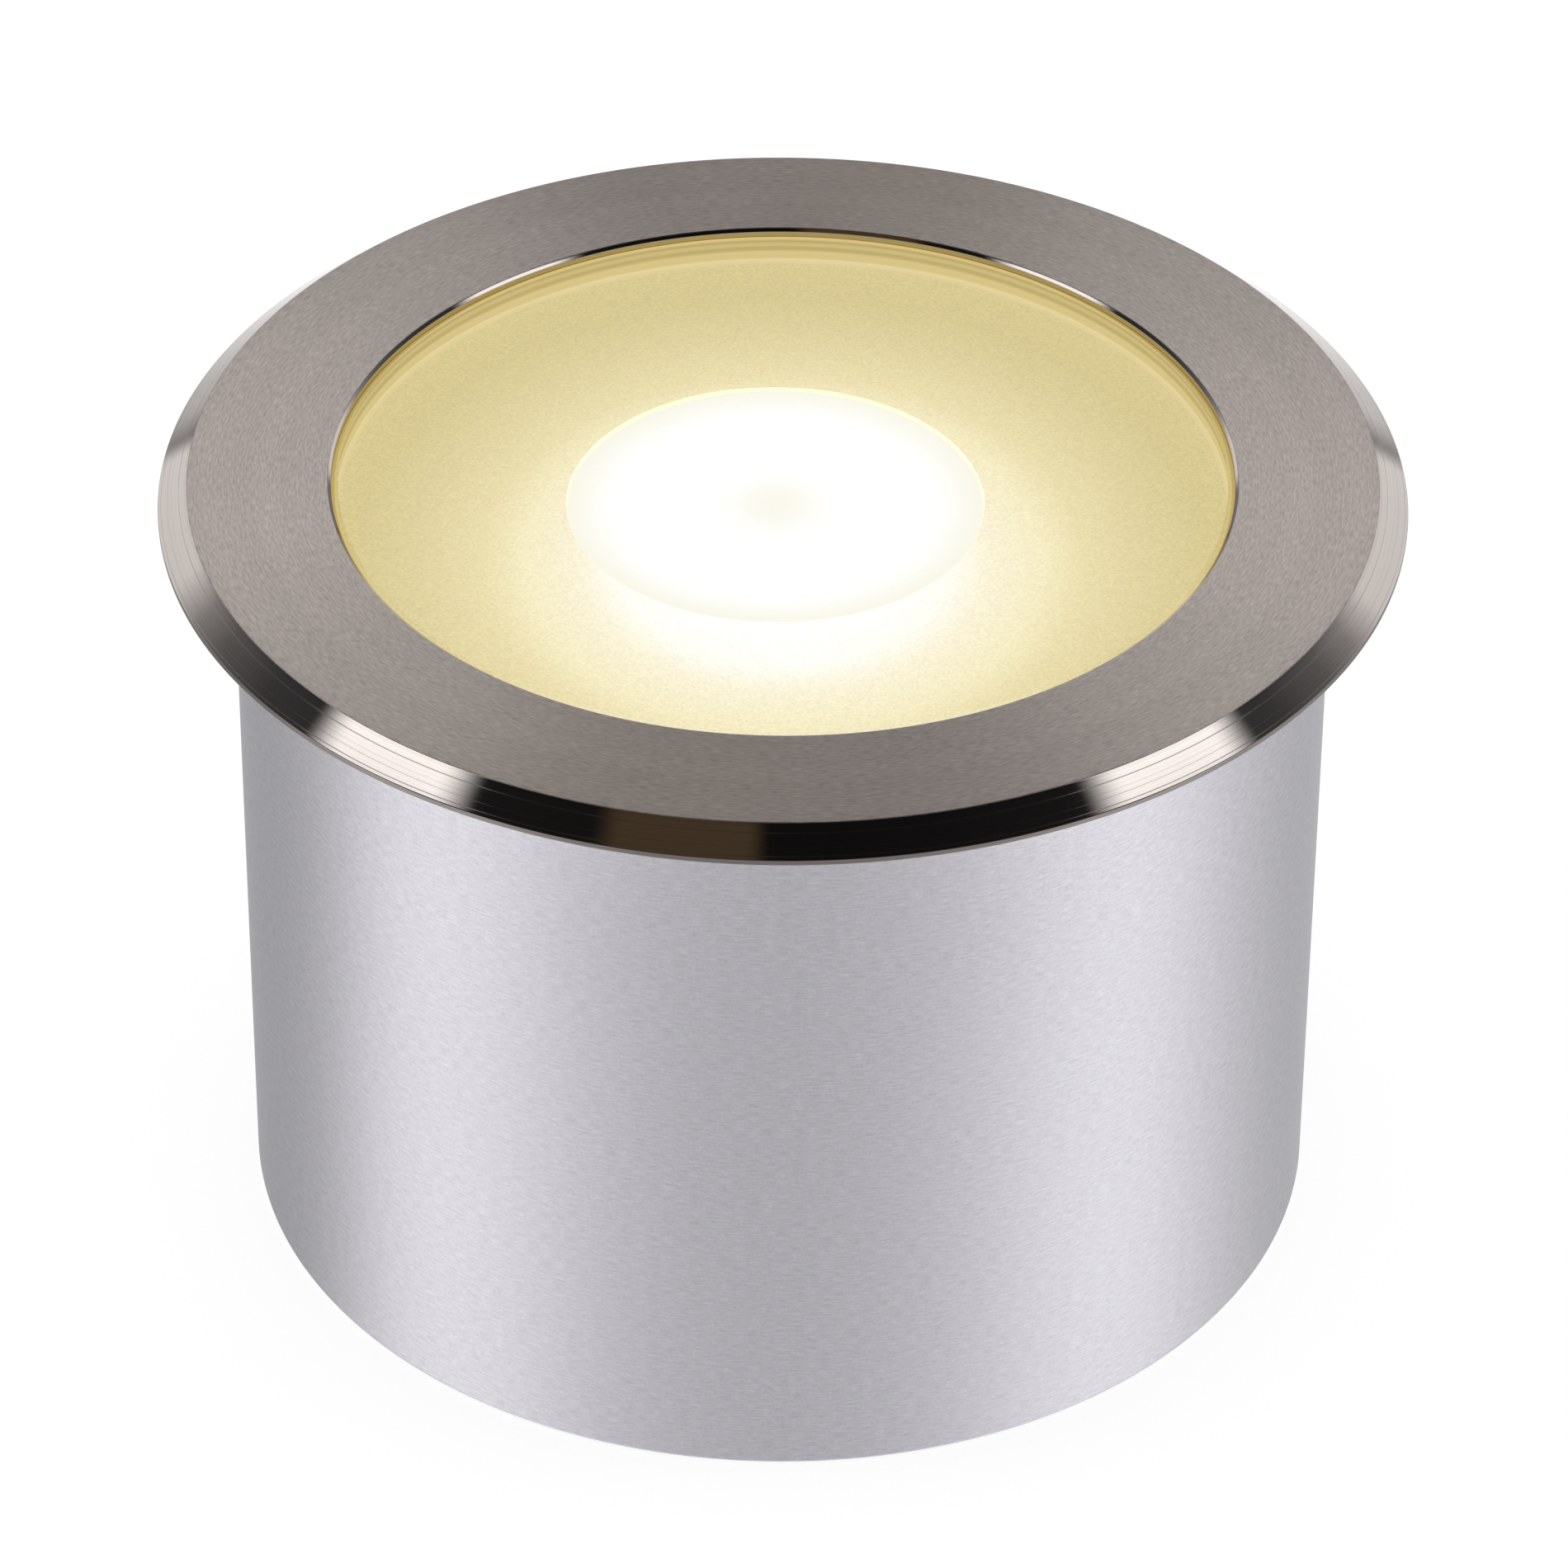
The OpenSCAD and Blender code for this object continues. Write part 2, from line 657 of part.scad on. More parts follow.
// Grommet: a rubber ring with a lip on both faces of the heat sink
module lead_grommet() {
    bore = 2 * lead_r + grommet_lip;
    color("black") translate([0, grommet_y, 0]) difference() {
        union() {
            rod(grommet_r - play, sink_z0 - grommet_lip, sink_z1 + grommet_lip);
            rod(grommet_r + grommet_lip, sink_z0 - grommet_lip, sink_z0 - play);
            rod(grommet_r + grommet_lip, sink_z1 + play, sink_z1 + grommet_lip);
        }
        rod(bore, sink_z0 - over - grommet_lip, sink_z1 + over + grommet_lip);
    }
}

module led_lead_positive() {
    color("red") lead(led_route_left);
}

module led_lead_negative() {
    color("black") lead(led_route_right);
}

// Driver's case: an open box with two fixing tabs, posts for its board and holes for the leads
module driver_case() {
    inner_l = driver_l - 2 * driver_wall;
    inner_w = driver_w - 2 * driver_wall;
    color("white") translate([0, driver_y, bottom_z1]) {
        difference() {
            union() {
                round_block(driver_l, driver_w, driver_lid_z - bottom_z1, driver_corner);
                for (side = [-1, 1]) {
                    translate([side * tab_x, 0, 0]) cylinder(r = tab_w / 2, h = tab_t);
                    translate([side * (tab_x + driver_l / 2 - driver_wall) / 2, 0, tab_t / 2])
                        cube([tab_x - driver_l / 2 + driver_wall, tab_w, tab_t], center = true);
                }
            }
            translate([0, 0, driver_wall])
                round_block(inner_l, inner_w, driver_h, driver_corner - driver_wall);
            for (side = [-1, 1]) {
                translate([side * tab_x, 0, -over])
                    cylinder(r = small_r + screw_play, h = tab_t + 2 * over);
                for (y = [-1, 1])
                    translate([side * driver_l / 2, y * lead_pitch / 2, lead_hole_z - bottom_z1])
                        rotate([0, 90, 0])
                            cylinder(r = lead_hole_r, h = 2 * driver_wall + 2 * over, center = true);
            }
        }
        for (x = [-1, 1], y = [-1, 1])
            translate([x * (inner_l / 2 - post_r), y * (inner_w / 2 - post_r), driver_wall - play])
                cylinder(r = post_r, h = circuit_stand + play);
    }
}

// Lid with a lip that drops into the case
module driver_lid() {
    lip_l = driver_l - 2 * driver_wall - 2 * play;
    lip_b = driver_w - 2 * driver_wall - 2 * play;
    color("white") translate([0, driver_y, driver_lid_z]) {
        round_block(driver_l, driver_w, driver_lid_t, driver_corner);
        translate([0, 0, -driver_lid_t / 2])
            round_block(lip_l, lip_b, driver_lid_t, driver_corner - driver_wall);
    }
}

module driver_board() {
    color("darkgreen") translate([0, driver_y, circuit_z])
        round_block(driver_l - 2 * driver_wall - 2 * loose, driver_w - 2 * driver_wall - 2 * loose,
            circuit_t, driver_corner - driver_wall);
}

// Transformer: two core halves round a bobbin
module driver_transformer() {
    core_h = (driver_lid_z - circuit_z1) * core_h_share;
    core_l = driver_l * core_l_share;
    core_w = driver_w / 2;
    yoke = core_l / 4;
    coil_w = core_w * coil_w_share;
    color("goldenrod") translate([-yoke, driver_y, circuit_z1]) {
        for (x = [-core_l / 2, core_l / 2 - yoke])
            translate([x, -core_w / 2, 0]) cube([yoke, core_w, core_h]);
        translate([-core_l / 2, -coil_w / 2, 0]) cube([core_l, coil_w, core_h * coil_h_share]);
        translate([-core_l / 2, -core_w / 2, 0]) cube([core_l, core_w, core_h / 4]);
    }
}

// Capacitors standing on the driver's board
module driver_capacitors() {
    can_h = (driver_lid_z - circuit_z1) * core_h_share;
    can_r = driver_w * can_r_share;
    row_x = driver_l * can_x_share;
    color("midnightblue") translate([0, driver_y, circuit_z1]) {
        for (side = [-1, 1])
            translate([row_x, side * driver_w / 4, 0]) cylinder(r = can_r, h = can_h);
        translate([-driver_l / 4, driver_w / 3, 0]) cylinder(r = can_r / 2, h = can_h / 2);
    }
}

// Packages soldered flat on the driver's board
module driver_chips() {
    chip = driver_w * chip_share;
    chip_x = driver_l * chip_x_share;
    color("black") translate([0, driver_y, circuit_z1]) {
        translate([chip_x, -chip / 2, 0]) cube([chip, chip, chip / 3]);
        translate([-driver_l / 4, -driver_w / 3, 0]) cube([chip, chip / 2, chip / 3]);
        translate([chip_x, driver_w / 4, 0]) cube([chip / 2, chip / 2, chip / 4]);
    }
}

module base_screws() {
    color("silver") for (place = base_screw_places)
        translate([place[0], place[1], bottom_z1 + place[2]])
            small_screw(place[2] + base_hole_h - loose);
}

module supply_lead_live() {
    color("brown") lead(live_route);
}

module supply_lead_neutral() {
    color("royalblue") lead(neutral_route);
}

// Terminal block: three towers on one base, with screw wells and wire holes
module terminal_block() {
    color("ghostwhite") translate([block_x, block_y, bottom_z1]) difference() {
        union() {
            translate([-block_l / 2, -block_w / 2, 0]) cube([block_l, block_w, block_base_h]);
            for (side = [-1, 1]) {
                translate([side * lug_x, 0, 0]) cylinder(r = small_head_r + loose, h = block_base_h);
                translate([side * (lug_x + block_l / 2) / 2, 0, block_base_h / 2])
                    cube([lug_x - block_l / 2 + over, 2 * small_head_r + 2 * loose, block_base_h],
                        center = true);
            }
            for (i = [0:poles - 1])
                translate([(i - (poles - 1) / 2) * pole_pitch - tower_w / 2, -block_w / 2, 0])
                    cube([tower_w, block_w, block_h]);
        }
        for (i = [0:poles - 1]) translate([(i - (poles - 1) / 2) * pole_pitch, 0, 0]) {
            translate([0, 0, block_h / 2]) rotate([90, 0, 0])
                cylinder(r = clamp_tube_r + play, h = block_w + 2 * over, center = true);
            for (side = [-1, 1]) translate([0, side * block_w * pole_screw_gap_share, block_h / 2])
                cylinder(r = pole_screw_r + 2 * play, h = block_h);
        }
        for (side = [-1, 1]) translate([side * lug_x, 0, -over])
            cylinder(r = small_r + screw_play, h = block_base_h + 2 * over);
    }
}

// Brass clamp tube of each pole
module terminal_clamps() {
    tube_l = block_w * clamp_tube_share;
    color("goldenrod") for (i = [0:poles - 1])
        translate([block_x + (i - (poles - 1) / 2) * pole_pitch, block_y, wire_z]) difference() {
            rotate([90, 0, 0]) cylinder(r = clamp_tube_r, h = tube_l, center = true);
            rotate([90, 0, 0]) cylinder(r = clamp_tube_bore, h = tube_l + 2 * over, center = true);
            for (side = [-1, 1]) translate([0, side * block_w * pole_screw_gap_share, 0])
                cylinder(r = pole_screw_r + play, h = clamp_tube_r + over);
        }
}

module terminal_screws() {
    reach = block_h / 2 - block_base_h / 2;
    color("silver") for (i = [0:poles - 1], side = [-1, 1])
        translate([block_x + (i - (poles - 1) / 2) * pole_pitch,
            block_y + side * block_w * pole_screw_gap_share, wire_z + lead_r + play]) difference() {
            cylinder(r = pole_screw_r, h = reach - lead_r);
            translate([-pole_screw_r - over, -pole_slot_w / 2, reach - lead_r - pole_slot_w])
                cube([2 * pole_screw_r + 2 * over, pole_slot_w, pole_screw_r]);
        }
}

module earth_lead() {
    color("limegreen") lead(earth_route);
}

// Ring tag with a crimped barrel
module earth_tag() {
    color("silver") translate([earth_x, earth_y, bottom_z1]) difference() {
        union() {
            cylinder(r = tag_r, h = tag_t);
            translate([0, -tag_barrel_r, 0]) cube([tag_r, 2 * tag_barrel_r, tag_t]);
            translate([tag_r, 0, tag_barrel_r]) rotate([0, 90, 0])
                cylinder(r = tag_barrel_r, h = tag_barrel_l);
        }
        translate([0, 0, -over]) cylinder(r = large_r + screw_play, h = tag_t + 2 * over);
        translate([tag_r - over, 0, tag_barrel_r]) rotate([0, 90, 0])
            cylinder(r = lead_r + play, h = tag_barrel_l + 2 * over);
    }
}

module earth_screw() {
    color("goldenrod") translate([earth_x, earth_y, bottom_z1 + tag_t])
        screw(large_r, tag_t + base_hole_h - loose, tag_r - loose - play, large_head_h / 2);
}

// One pocket between two ribs of the bottom cover, as a ring sector
module cover_pocket(turn) {
    half = 180 / pockets_n;
    rotate(turn) intersection() {
        wall(bottom_groove_r0 * pocket_rim_share, bottom_groove_r0 * pocket_hub_share,
            recess_h - over, recess_h + pocket_d);
        linear_extrude(height = recess_h + pocket_d) polygon([[pocket_rib_t, 0],
            [bottom_r * cos(half), bottom_r * sin(half) - pocket_rib_t / 2],
            [bottom_r, 0], [bottom_r * cos(half), pocket_rib_t / 2 - bottom_r * sin(half)]]);
    }
}

// Bottom cover: a cast plate with ribs below, a seal groove above and blind holes for what stands on it
module bottom_cover() {
    color("silver") difference() {
        rod(bottom_r, recess_h, bottom_z1);
        difference() {
            for (i = [0:pockets_n - 1]) cover_pocket(i * 360 / pockets_n);
            translate([gland_x, gland_y, 0]) rod(gland_af * across_corners / 2 + loose, 0, bottom_z1);
        }
        wall(bottom_groove_r1, bottom_groove_r0, bottom_z1 - bottom_cord_d - 2 * play, bottom_z1 + over);
        translate([gland_x, gland_y, 0]) rod(gland_r + thread_gap, recess_h - over, bottom_z1 + over);
        around(bottom_screws_n, bottom_screw_r, bottom_screw_angle)
            rod(large_r + thread_gap, recess_h - over, bottom_z1 + over);
        for (place = base_screw_places) translate([place[0], place[1], 0])
            rod(small_r + screw_play, bottom_z1 - base_hole_h, bottom_z1 + over);
        translate([earth_x, earth_y, 0])
            rod(large_r + screw_play, bottom_z1 - base_hole_h, bottom_z1 + over);
    }
}

module bottom_seal() {
    color("black") rotate_extrude()
        translate([(bottom_groove_r0 + bottom_groove_r1) / 2, bottom_z1 - play - bottom_cord_d / 2])
            circle(r = bottom_cord_d / 2, $fn = 32);
}

module bottom_cover_screws() {
    color("silver") around(bottom_screws_n, bottom_screw_r, bottom_screw_angle)
        translate([0, 0, recess_h]) rotate([180, 0, 0])
            large_screw(bottom_t + shelf_t * shelf_hole_share - loose);
}

// Gland body: a hexagon with a thread on both sides, bored for the cable and the rubber bush
module gland_body() {
    color("dimgray") translate([gland_x, gland_y, 0]) difference() {
        union() {
            rod(gland_r, gland_nose_z, gland_top_z);
            translate([0, 0, gland_hex_z0]) intersection() {
                hexagon(gland_af, gland_hex_h);
                cylinder(r1 = gland_af / 2 + hex_break, r2 = gland_af / 2 + hex_break + gland_hex_h / 2,
                    h = gland_hex_h);
            }
        }
        rod(gland_bore_r, gland_nose_z - over, gland_top_z + over);
        rod(gland_chamber_r, gland_nose_z - over, bush_z0 + bush_h + play);
    }
}

module gland_washer() {
    color("black") translate([gland_x, gland_y, 0])
        wall(gland_af / 2, gland_r + thread_gap, gland_hex_z1, recess_h);
}

module gland_locknut() {
    color("dimgray") translate([gland_x, gland_y, bottom_z1]) difference() {
        hexagon(gland_af, gland_nut_h);
        translate([0, 0, -over]) cylinder(r = gland_r + thread_gap, h = gland_nut_h + 2 * over);
    }
}

// Rubber bush that closes round the cable, tapered at its foot
module gland_seal() {
    bush_r = gland_chamber_r - 2 * play;
    color("black") translate([gland_x, gland_y, 0]) rotate_extrude() polygon([[cable_r, bush_z0],
        [bush_r - bush_taper, bush_z0], [bush_r, bush_z0 + bush_taper], [bush_r, bush_z0 + bush_h],
        [cable_r, bush_z0 + bush_h]]);
}

// Clamp: a ring whose slotted fingers close on the cable
module gland_clamp() {
    outer = gland_chamber_r - 2 * play;
    color("white") translate([gland_x, gland_y, 0]) difference() {
        wall(outer, outer - clamp_wall, clamp_z, clamp_z + clamp_h);
        for (i = [0:clamp_slots - 1]) rotate(i * 360 / clamp_slots)
            translate([0, -clamp_slot_w / 2, clamp_z + clamp_h * clamp_base_share])
                cube([outer + over, clamp_slot_w, clamp_h]);
    }
}

// Cap nut: a hexagon with a domed nose
module gland_cap() {
    nose_h = cap_h * (1 - cap_hex_share);
    flat_r = gland_af / 2;
    nose_r = flat_r * cap_nose_share;
    color("dimgray") translate([gland_x, gland_y, cap_z0]) difference() {
        union() {
            translate([0, 0, nose_h]) intersection() {
                hexagon(gland_af, cap_h - nose_h);
                cylinder(r1 = flat_r, r2 = flat_r + cap_h - nose_h, h = cap_h - nose_h);
            }
            rotate_extrude() intersection() {
                translate([flat_r - nose_h, nose_h]) circle(r = nose_h);
                square([flat_r, nose_h]);
            }
            cylinder(r = nose_r, h = nose_h);
        }
        translate([0, 0, -over]) cylinder(r = cap_mouth_r, h = cap_h);
        translate([0, 0, cap_floor_t]) cylinder(r = gland_chamber_r, h = cap_h);
        translate([0, 0, gland_nose_z - cap_gap - cap_z0]) cylinder(r = cap_r, h = cap_h);
    }
}

trim_ring();
glass_carrier();
carrier_screws();
glass();
glass_sealant();
glass_gasket();
cover_seal();
body_tube();
shelf_ring();
ledge_ring();
diffuser_disc();
reflector();
reflector_holder();
led_package();
led_phosphor();
led_board();
thermal_pad();
board_screws();
heat_sink();
heat_sink_screws();
lead_grommet();
led_lead_positive();
led_lead_negative();
driver_case();
driver_lid();
driver_board();
driver_transformer();
driver_capacitors();
driver_chips();
base_screws();
supply_lead_live();
supply_lead_neutral();
terminal_block();
terminal_clamps();
terminal_screws();
earth_lead();
earth_tag();
earth_screw();
bottom_cover();
bottom_seal();
bottom_cover_screws();
gland_body();
gland_washer();
gland_locknut();
gland_seal();
gland_clamp();
gland_cap();
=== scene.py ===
import math
import json
import bmesh
import bpy
from mathutils import Matrix, Vector


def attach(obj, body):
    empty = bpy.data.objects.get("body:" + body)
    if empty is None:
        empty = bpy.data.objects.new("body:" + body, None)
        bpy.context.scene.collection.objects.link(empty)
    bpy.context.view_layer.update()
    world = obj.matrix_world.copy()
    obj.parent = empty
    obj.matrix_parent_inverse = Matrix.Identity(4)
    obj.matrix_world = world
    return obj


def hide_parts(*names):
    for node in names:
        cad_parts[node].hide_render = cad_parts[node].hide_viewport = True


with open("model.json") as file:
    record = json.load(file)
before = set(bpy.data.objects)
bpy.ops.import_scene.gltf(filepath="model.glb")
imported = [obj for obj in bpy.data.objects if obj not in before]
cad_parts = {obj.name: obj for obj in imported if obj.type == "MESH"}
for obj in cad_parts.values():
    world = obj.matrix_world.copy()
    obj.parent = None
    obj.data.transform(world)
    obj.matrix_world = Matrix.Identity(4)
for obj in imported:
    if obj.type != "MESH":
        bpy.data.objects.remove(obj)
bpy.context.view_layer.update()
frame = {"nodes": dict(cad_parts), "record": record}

# ---- Camera
# The photograph looks down on the light from 34 degrees, through a long lens. The camera's
# distance, pitch and roll come from the ellipses of the ring, the disc and the body.
camera_distance = 0.818
camera_height_angle = math.radians(33.77)
camera_pitch = math.radians(36.06)
camera_roll = math.radians(0.37)
camera_aside = 0.00035
camera_focal_length = 180.5
camera_film_width = 36
ring_top_z = 0.0865

camera_lens = bpy.data.cameras.new("camera")
camera_lens.lens = camera_focal_length
camera_lens.sensor_width = camera_film_width
camera = bpy.data.objects.new("camera", camera_lens)
bpy.context.scene.collection.objects.link(camera)
forward = Vector((camera_aside, math.cos(camera_pitch), -math.sin(camera_pitch))).normalized()
level_right = forward.cross(Vector((0, 0, 1))).normalized()
level_up = level_right.cross(forward)
right = level_right * math.cos(camera_roll) + level_up * math.sin(camera_roll)
up = level_up * math.cos(camera_roll) - level_right * math.sin(camera_roll)
turn = Matrix((right, up, -forward)).transposed().to_4x4()
camera.matrix_world = Matrix.Translation((
    0, -camera_distance * math.cos(camera_height_angle),
    ring_top_z + camera_distance * math.sin(camera_height_angle))) @ turn
bpy.context.scene.camera = camera
bpy.context.scene.view_settings.view_transform = "Standard"


# ---- Studio
# A white floor that runs out of the view, a room that is pale below and dark overhead, and on
# each side a soft lamp from above and a soft strip. The front of the chamfer mirrors the dark.
class Value:
    """One output of a shader node, so that maths on it is written as maths."""

    def __init__(self, paint, socket):
        self.paint = paint
        self.socket = socket

    def math(self, operation, *others):
        return self.paint.node("ShaderNodeMath", {"operation": operation}, [self, *others])

    def __add__(self, other):
        return self.math("ADD", other)

    def __sub__(self, other):
        return self.math("SUBTRACT", other)

    def __rsub__(self, other):
        return self.paint.node("ShaderNodeMath", {"operation": "SUBTRACT"}, [other, self])

    def __mul__(self, other):
        return self.math("MULTIPLY", other)

    def __truediv__(self, other):
        return self.math("DIVIDE", other)

    def __gt__(self, other):
        return self.math("GREATER_THAN", other)

    def __lt__(self, other):
        return self.math("LESS_THAN", other)

    def clamped(self):
        return self.paint.node("ShaderNodeClamp", {}, [self])

    def step(self, start, end):
        """0 below start, 1 above end, and a smooth rise between them."""
        return self.paint.node("ShaderNodeMapRange", {"interpolation_type": "SMOOTHSTEP"},
                               [self, start, end, 0.0, 1.0])


class Paint:
    """A material, or the world or a lamp, while its nodes are being put together."""

    def __init__(self, name, made=None, end="ShaderNodeOutputMaterial"):
        made = made or bpy.data.materials.new(name)
        made.use_nodes = True
        self.made = made
        self.tree = made.node_tree
        for node in list(self.tree.nodes):
            self.tree.nodes.remove(node)
        self.out = self.tree.nodes.new(end)

    def node(self, kind, settings, values, output=0):
        """A node of a kind: its settings first, then the values or links of its sockets."""
        node = self.tree.nodes.new(kind)
        for name, setting in settings.items():
            setattr(node, name, setting)
        pairs = values.items() if isinstance(values, dict) else enumerate(values)
        for key, value in pairs:
            if isinstance(value, Value):
                self.tree.links.new(value.socket, node.inputs[key])
            elif value is not None:
                wide = node.inputs[key].type == "RGBA" and len(value) == 3
                node.inputs[key].default_value = (*value, 1) if wide else value
        return Value(self, node.outputs[output])

    def blend(self, share, first, second):
        """A colour between two colours."""
        return self.node("ShaderNodeMix", {"data_type": "RGBA"}, {0: share, 6: first, 7: second}, 2)

    def ramp(self, share, stops):
        """A colour that changes along (share, colour) stops."""
        made = self.node("ShaderNodeValToRGB", {}, [share])
        elements = made.socket.node.color_ramp.elements
        for extra in range(len(stops) - len(elements)):
            elements.new(0.5)
        for element, (position, colour) in zip(elements, stops):
            element.position = position
            element.color = (*colour, 1)
        return made

    def ray(self, kind):
        return self.node("ShaderNodeLightPath", {}, {}, kind)

    def object_place(self):
        return self.node("ShaderNodeTexCoord", {}, {}, "Object")

    def axis(self, place, name):
        return self.node("ShaderNodeSeparateXYZ", {}, [place], name)

    def vector(self, operation, *values, output=0):
        return self.node("ShaderNodeVectorMath", {"operation": operation}, values, output)

    def radius(self, place, middle=(0.0, 0.0, 0.0), stretch=(1.0, 1.0, 0.0)):
        """The distance from an upright line through the middle."""
        flat = self.vector("MULTIPLY", place, stretch)
        return self.vector("DISTANCE", flat, middle, output="Value")

    def noise(self, place, scale, detail=2.0, rough=0.5):
        return self.node("ShaderNodeTexNoise", {}, {
            "Vector": place, "Scale": scale, "Detail": detail, "Roughness": rough})

    def noise_along(self, measure, scale, detail=2.0, rough=0.5):
        """Noise that changes along one measure only, and so draws lines."""
        return self.node("ShaderNodeTexNoise", {"noise_dimensions": "1D"}, {
            "W": measure, "Scale": scale, "Detail": detail, "Roughness": rough})

    def dashes(self, place, across, scale):
        """Grain that is drawn out round the Z axis, as a cutting tool leaves it."""
        left_right = self.axis(place, "X")
        front_back = self.axis(place, "Y")
        turn = self.node("ShaderNodeMath", {"operation": "ARCTAN2"}, [front_back, left_right])
        drawn_out = self.node("ShaderNodeCombineXYZ", {}, [across, turn * 0.009, 0.0])
        return self.noise(drawn_out, scale, 2.0, 0.6)

    def bump(self, height, strength, reach, under=None):
        return self.node("ShaderNodeBump", {}, {
            "Strength": strength, "Distance": reach, "Height": height, "Normal": under})

    def finish(self, shader):
        self.tree.links.new(shader.socket, self.out.inputs["Surface"])
        return self.made

    def surface(self, sockets):
        return self.finish(self.node("ShaderNodeBsdfPrincipled", {}, sockets))


room = Paint("room", bpy.data.worlds.new("room"), "ShaderNodeOutputWorld")
heading = room.node("ShaderNodeTexCoord", {}, {}, "Generated")
to_right = room.axis(heading, "X")
to_back = room.axis(heading, "Y")
upwards = room.axis(heading, "Z")
diffuse = room.ray("Is Diffuse Ray")
walls = room.ramp(upwards + to_right.step(-0.45, -0.6) * 0.04, [
    (0.0, (1.0, 1.0, 1.0)), (0.34, (1.0, 0.99, 0.98)), (0.43, (0.34, 0.33, 0.33)),
    (0.5, (0.15, 0.15, 0.15)), (0.6, (0.06, 0.06, 0.062)), (0.8, (0.016, 0.016, 0.016)),
    (1.0, (0.003, 0.003, 0.003))])
aside = to_right.math("ABSOLUTE")
behind = to_back.step(0.5, 0.65) * (1 - upwards.step(0.66, 0.76))
walls = room.blend(behind * (1 - aside.step(0.3, 0.42)), walls, (1.22, 1.18, 1.15))
panels = aside.step(0.17, 0.27) * (1 - aside.step(0.48, 0.53)) * (1 - upwards.step(0.5, 0.56))
walls = room.blend(behind * panels, walls, (0.25, 0.24, 0.24))
around = aside.math("ARCTAN2", to_back * -1) / math.pi
bands = room.ramp(around, [(position, (grey, grey, grey)) for position, grey in (
    (0.0, 0.95), (0.12, 1.02), (0.23, 1.27), (0.31, 1.7), (0.39, 2.0), (0.45, 1.95), (0.5, 1.65),
    (0.56, 1.2), (0.6, 0.95), (0.69, 0.64), (0.79, 0.6), (0.88, 0.76), (0.95, 1.1), (1.0, 1.5))])
lean = to_right * to_back.step(0.0, 0.3) * 0.24 + 1
walls = room.blend(upwards.step(0.02, -0.1), walls, room.vector("SCALE", bands, None, None, lean))
front = (upwards > -0.02) * to_back.step(-0.05, -0.45) * (1 - upwards.step(0.3, 0.6))
dimmed = room.blend(front, walls, (0.3, 0.3, 0.31))
beam = to_right.step(-0.36, -0.3) * (1 - to_right.step(-0.07, -0.02)) * upwards.step(0.8, 0.84)
ceiling = room.blend(beam, dimmed, (0.085, 0.06, 0.035))
room_colour = room.blend(diffuse, ceiling, (0.8, 0.8, 0.82))
looked_at = room.ray("Is Camera Ray")
room_colour = room.blend(looked_at, room_colour, (1.0, 1.0, 1.0))
bpy.context.scene.world = room.finish(room.node("ShaderNodeBackground", {}, [room_colour, 1.0]))


lamps_aim = Vector((0, 0, 0.06))


def lamp(name, heading, distance, width, depth, power, fade, along=(0, 1, 0)):
    """A soft lamp that faces the light from a heading, with its width along a direction. A fade is
    the share of the width over which each end grows dark."""
    light = bpy.data.lights.new(name, "AREA")
    light.shape = "RECTANGLE"
    light.size = width
    light.size_y = depth
    light.energy = power
    glow = Paint(name, light, "ShaderNodeOutputLight")
    run = glow.axis(glow.node("ShaderNodeNewGeometry", {}, {}, "Parametric"), "X")
    ends = run.step(0.0, fade) * (1 - run).step(0.0, fade)
    glow.finish(glow.node("ShaderNodeEmission", {}, {"Strength": ends}))
    holder = bpy.data.objects.new(name, light)
    bpy.context.scene.collection.objects.link(holder)
    away = Vector(heading).normalized()
    side = (Vector(along) - away * Vector(along).dot(away)).normalized()
    turned = Matrix((side, away.cross(side), away)).transposed().to_4x4()
    holder.matrix_world = Matrix.Translation(away * distance + lamps_aim) @ turned


for name, side in (("lamp_left", -1), ("lamp_right", 1)):
    lamp(name, (side * 0.633, 0.009, 0.775), distance=1.3, width=0.58, depth=0.26, power=0.85,
         fade=0.25, along=(side * 0.156, 0.265, -0.142))
for name, side in (("strip_left", -1), ("strip_right", 1)):
    lamp(name, (side * 0.96, -0.28, 0.22), distance=1.2, width=0.5, depth=0.5, power=1.22, fade=0.3)

floor_half = 3.0
floor_z = -0.0002
floor_mesh = bpy.data.meshes.new("floor")
floor_mesh.from_pydata([(x * floor_half, y * floor_half, floor_z)
                        for x, y in ((-1, -1), (1, -1), (1, 1), (-1, 1))], [], [(0, 1, 2, 3)])
floor = bpy.data.objects.new("floor", floor_mesh)
bpy.context.scene.collection.objects.link(floor)
white = Paint("floor_white")
seen = white.ray("Is Camera Ray")
mirrored = white.ray("Is Glossy Ray")
through = white.ray("Is Transmission Ray")
plain = white.node("ShaderNodeBsdfDiffuse", {}, [(0.8, 0.8, 0.8)])
faint = white.node("ShaderNodeBsdfDiffuse", {}, [(0.32, 0.32, 0.32)])
glow = white.node("ShaderNodeEmission", {}, [(1.0, 1.0, 1.0), 0.78])
shown = white.node("ShaderNodeAddShader", {}, [faint, glow])
lit_floor = white.node("ShaderNodeMixShader", {}, [(seen + through).clamped(), plain, shown])
open_air = white.node("ShaderNodeBsdfTransparent", {}, [])
floor_mesh.materials.append(white.finish(
    white.node("ShaderNodeMixShader", {}, [mirrored, lit_floor, open_air])))


# ---- Trim ring
# One ring of 3 mm stainless plate, faced and chamfered on a lathe. The top keeps the fine lines
# of the facing cut, and the wide chamfer is turned to a gloss. Screws hold it on the collar.
ring_r = 0.065
opening_r = 0.047
body_r = 0.0574
ring_bottom_z = 0.0835
ring_chamfer_w = 0.0031
ring_chamfer_h = 0.0024
groove_r = 0.0562
groove_w = 0.001
groove_h = 0.0004
bore_chamfer_w = 0.0004
bore_chamfer_h = 0.00031
steel = (0.56, 0.515, 0.488)


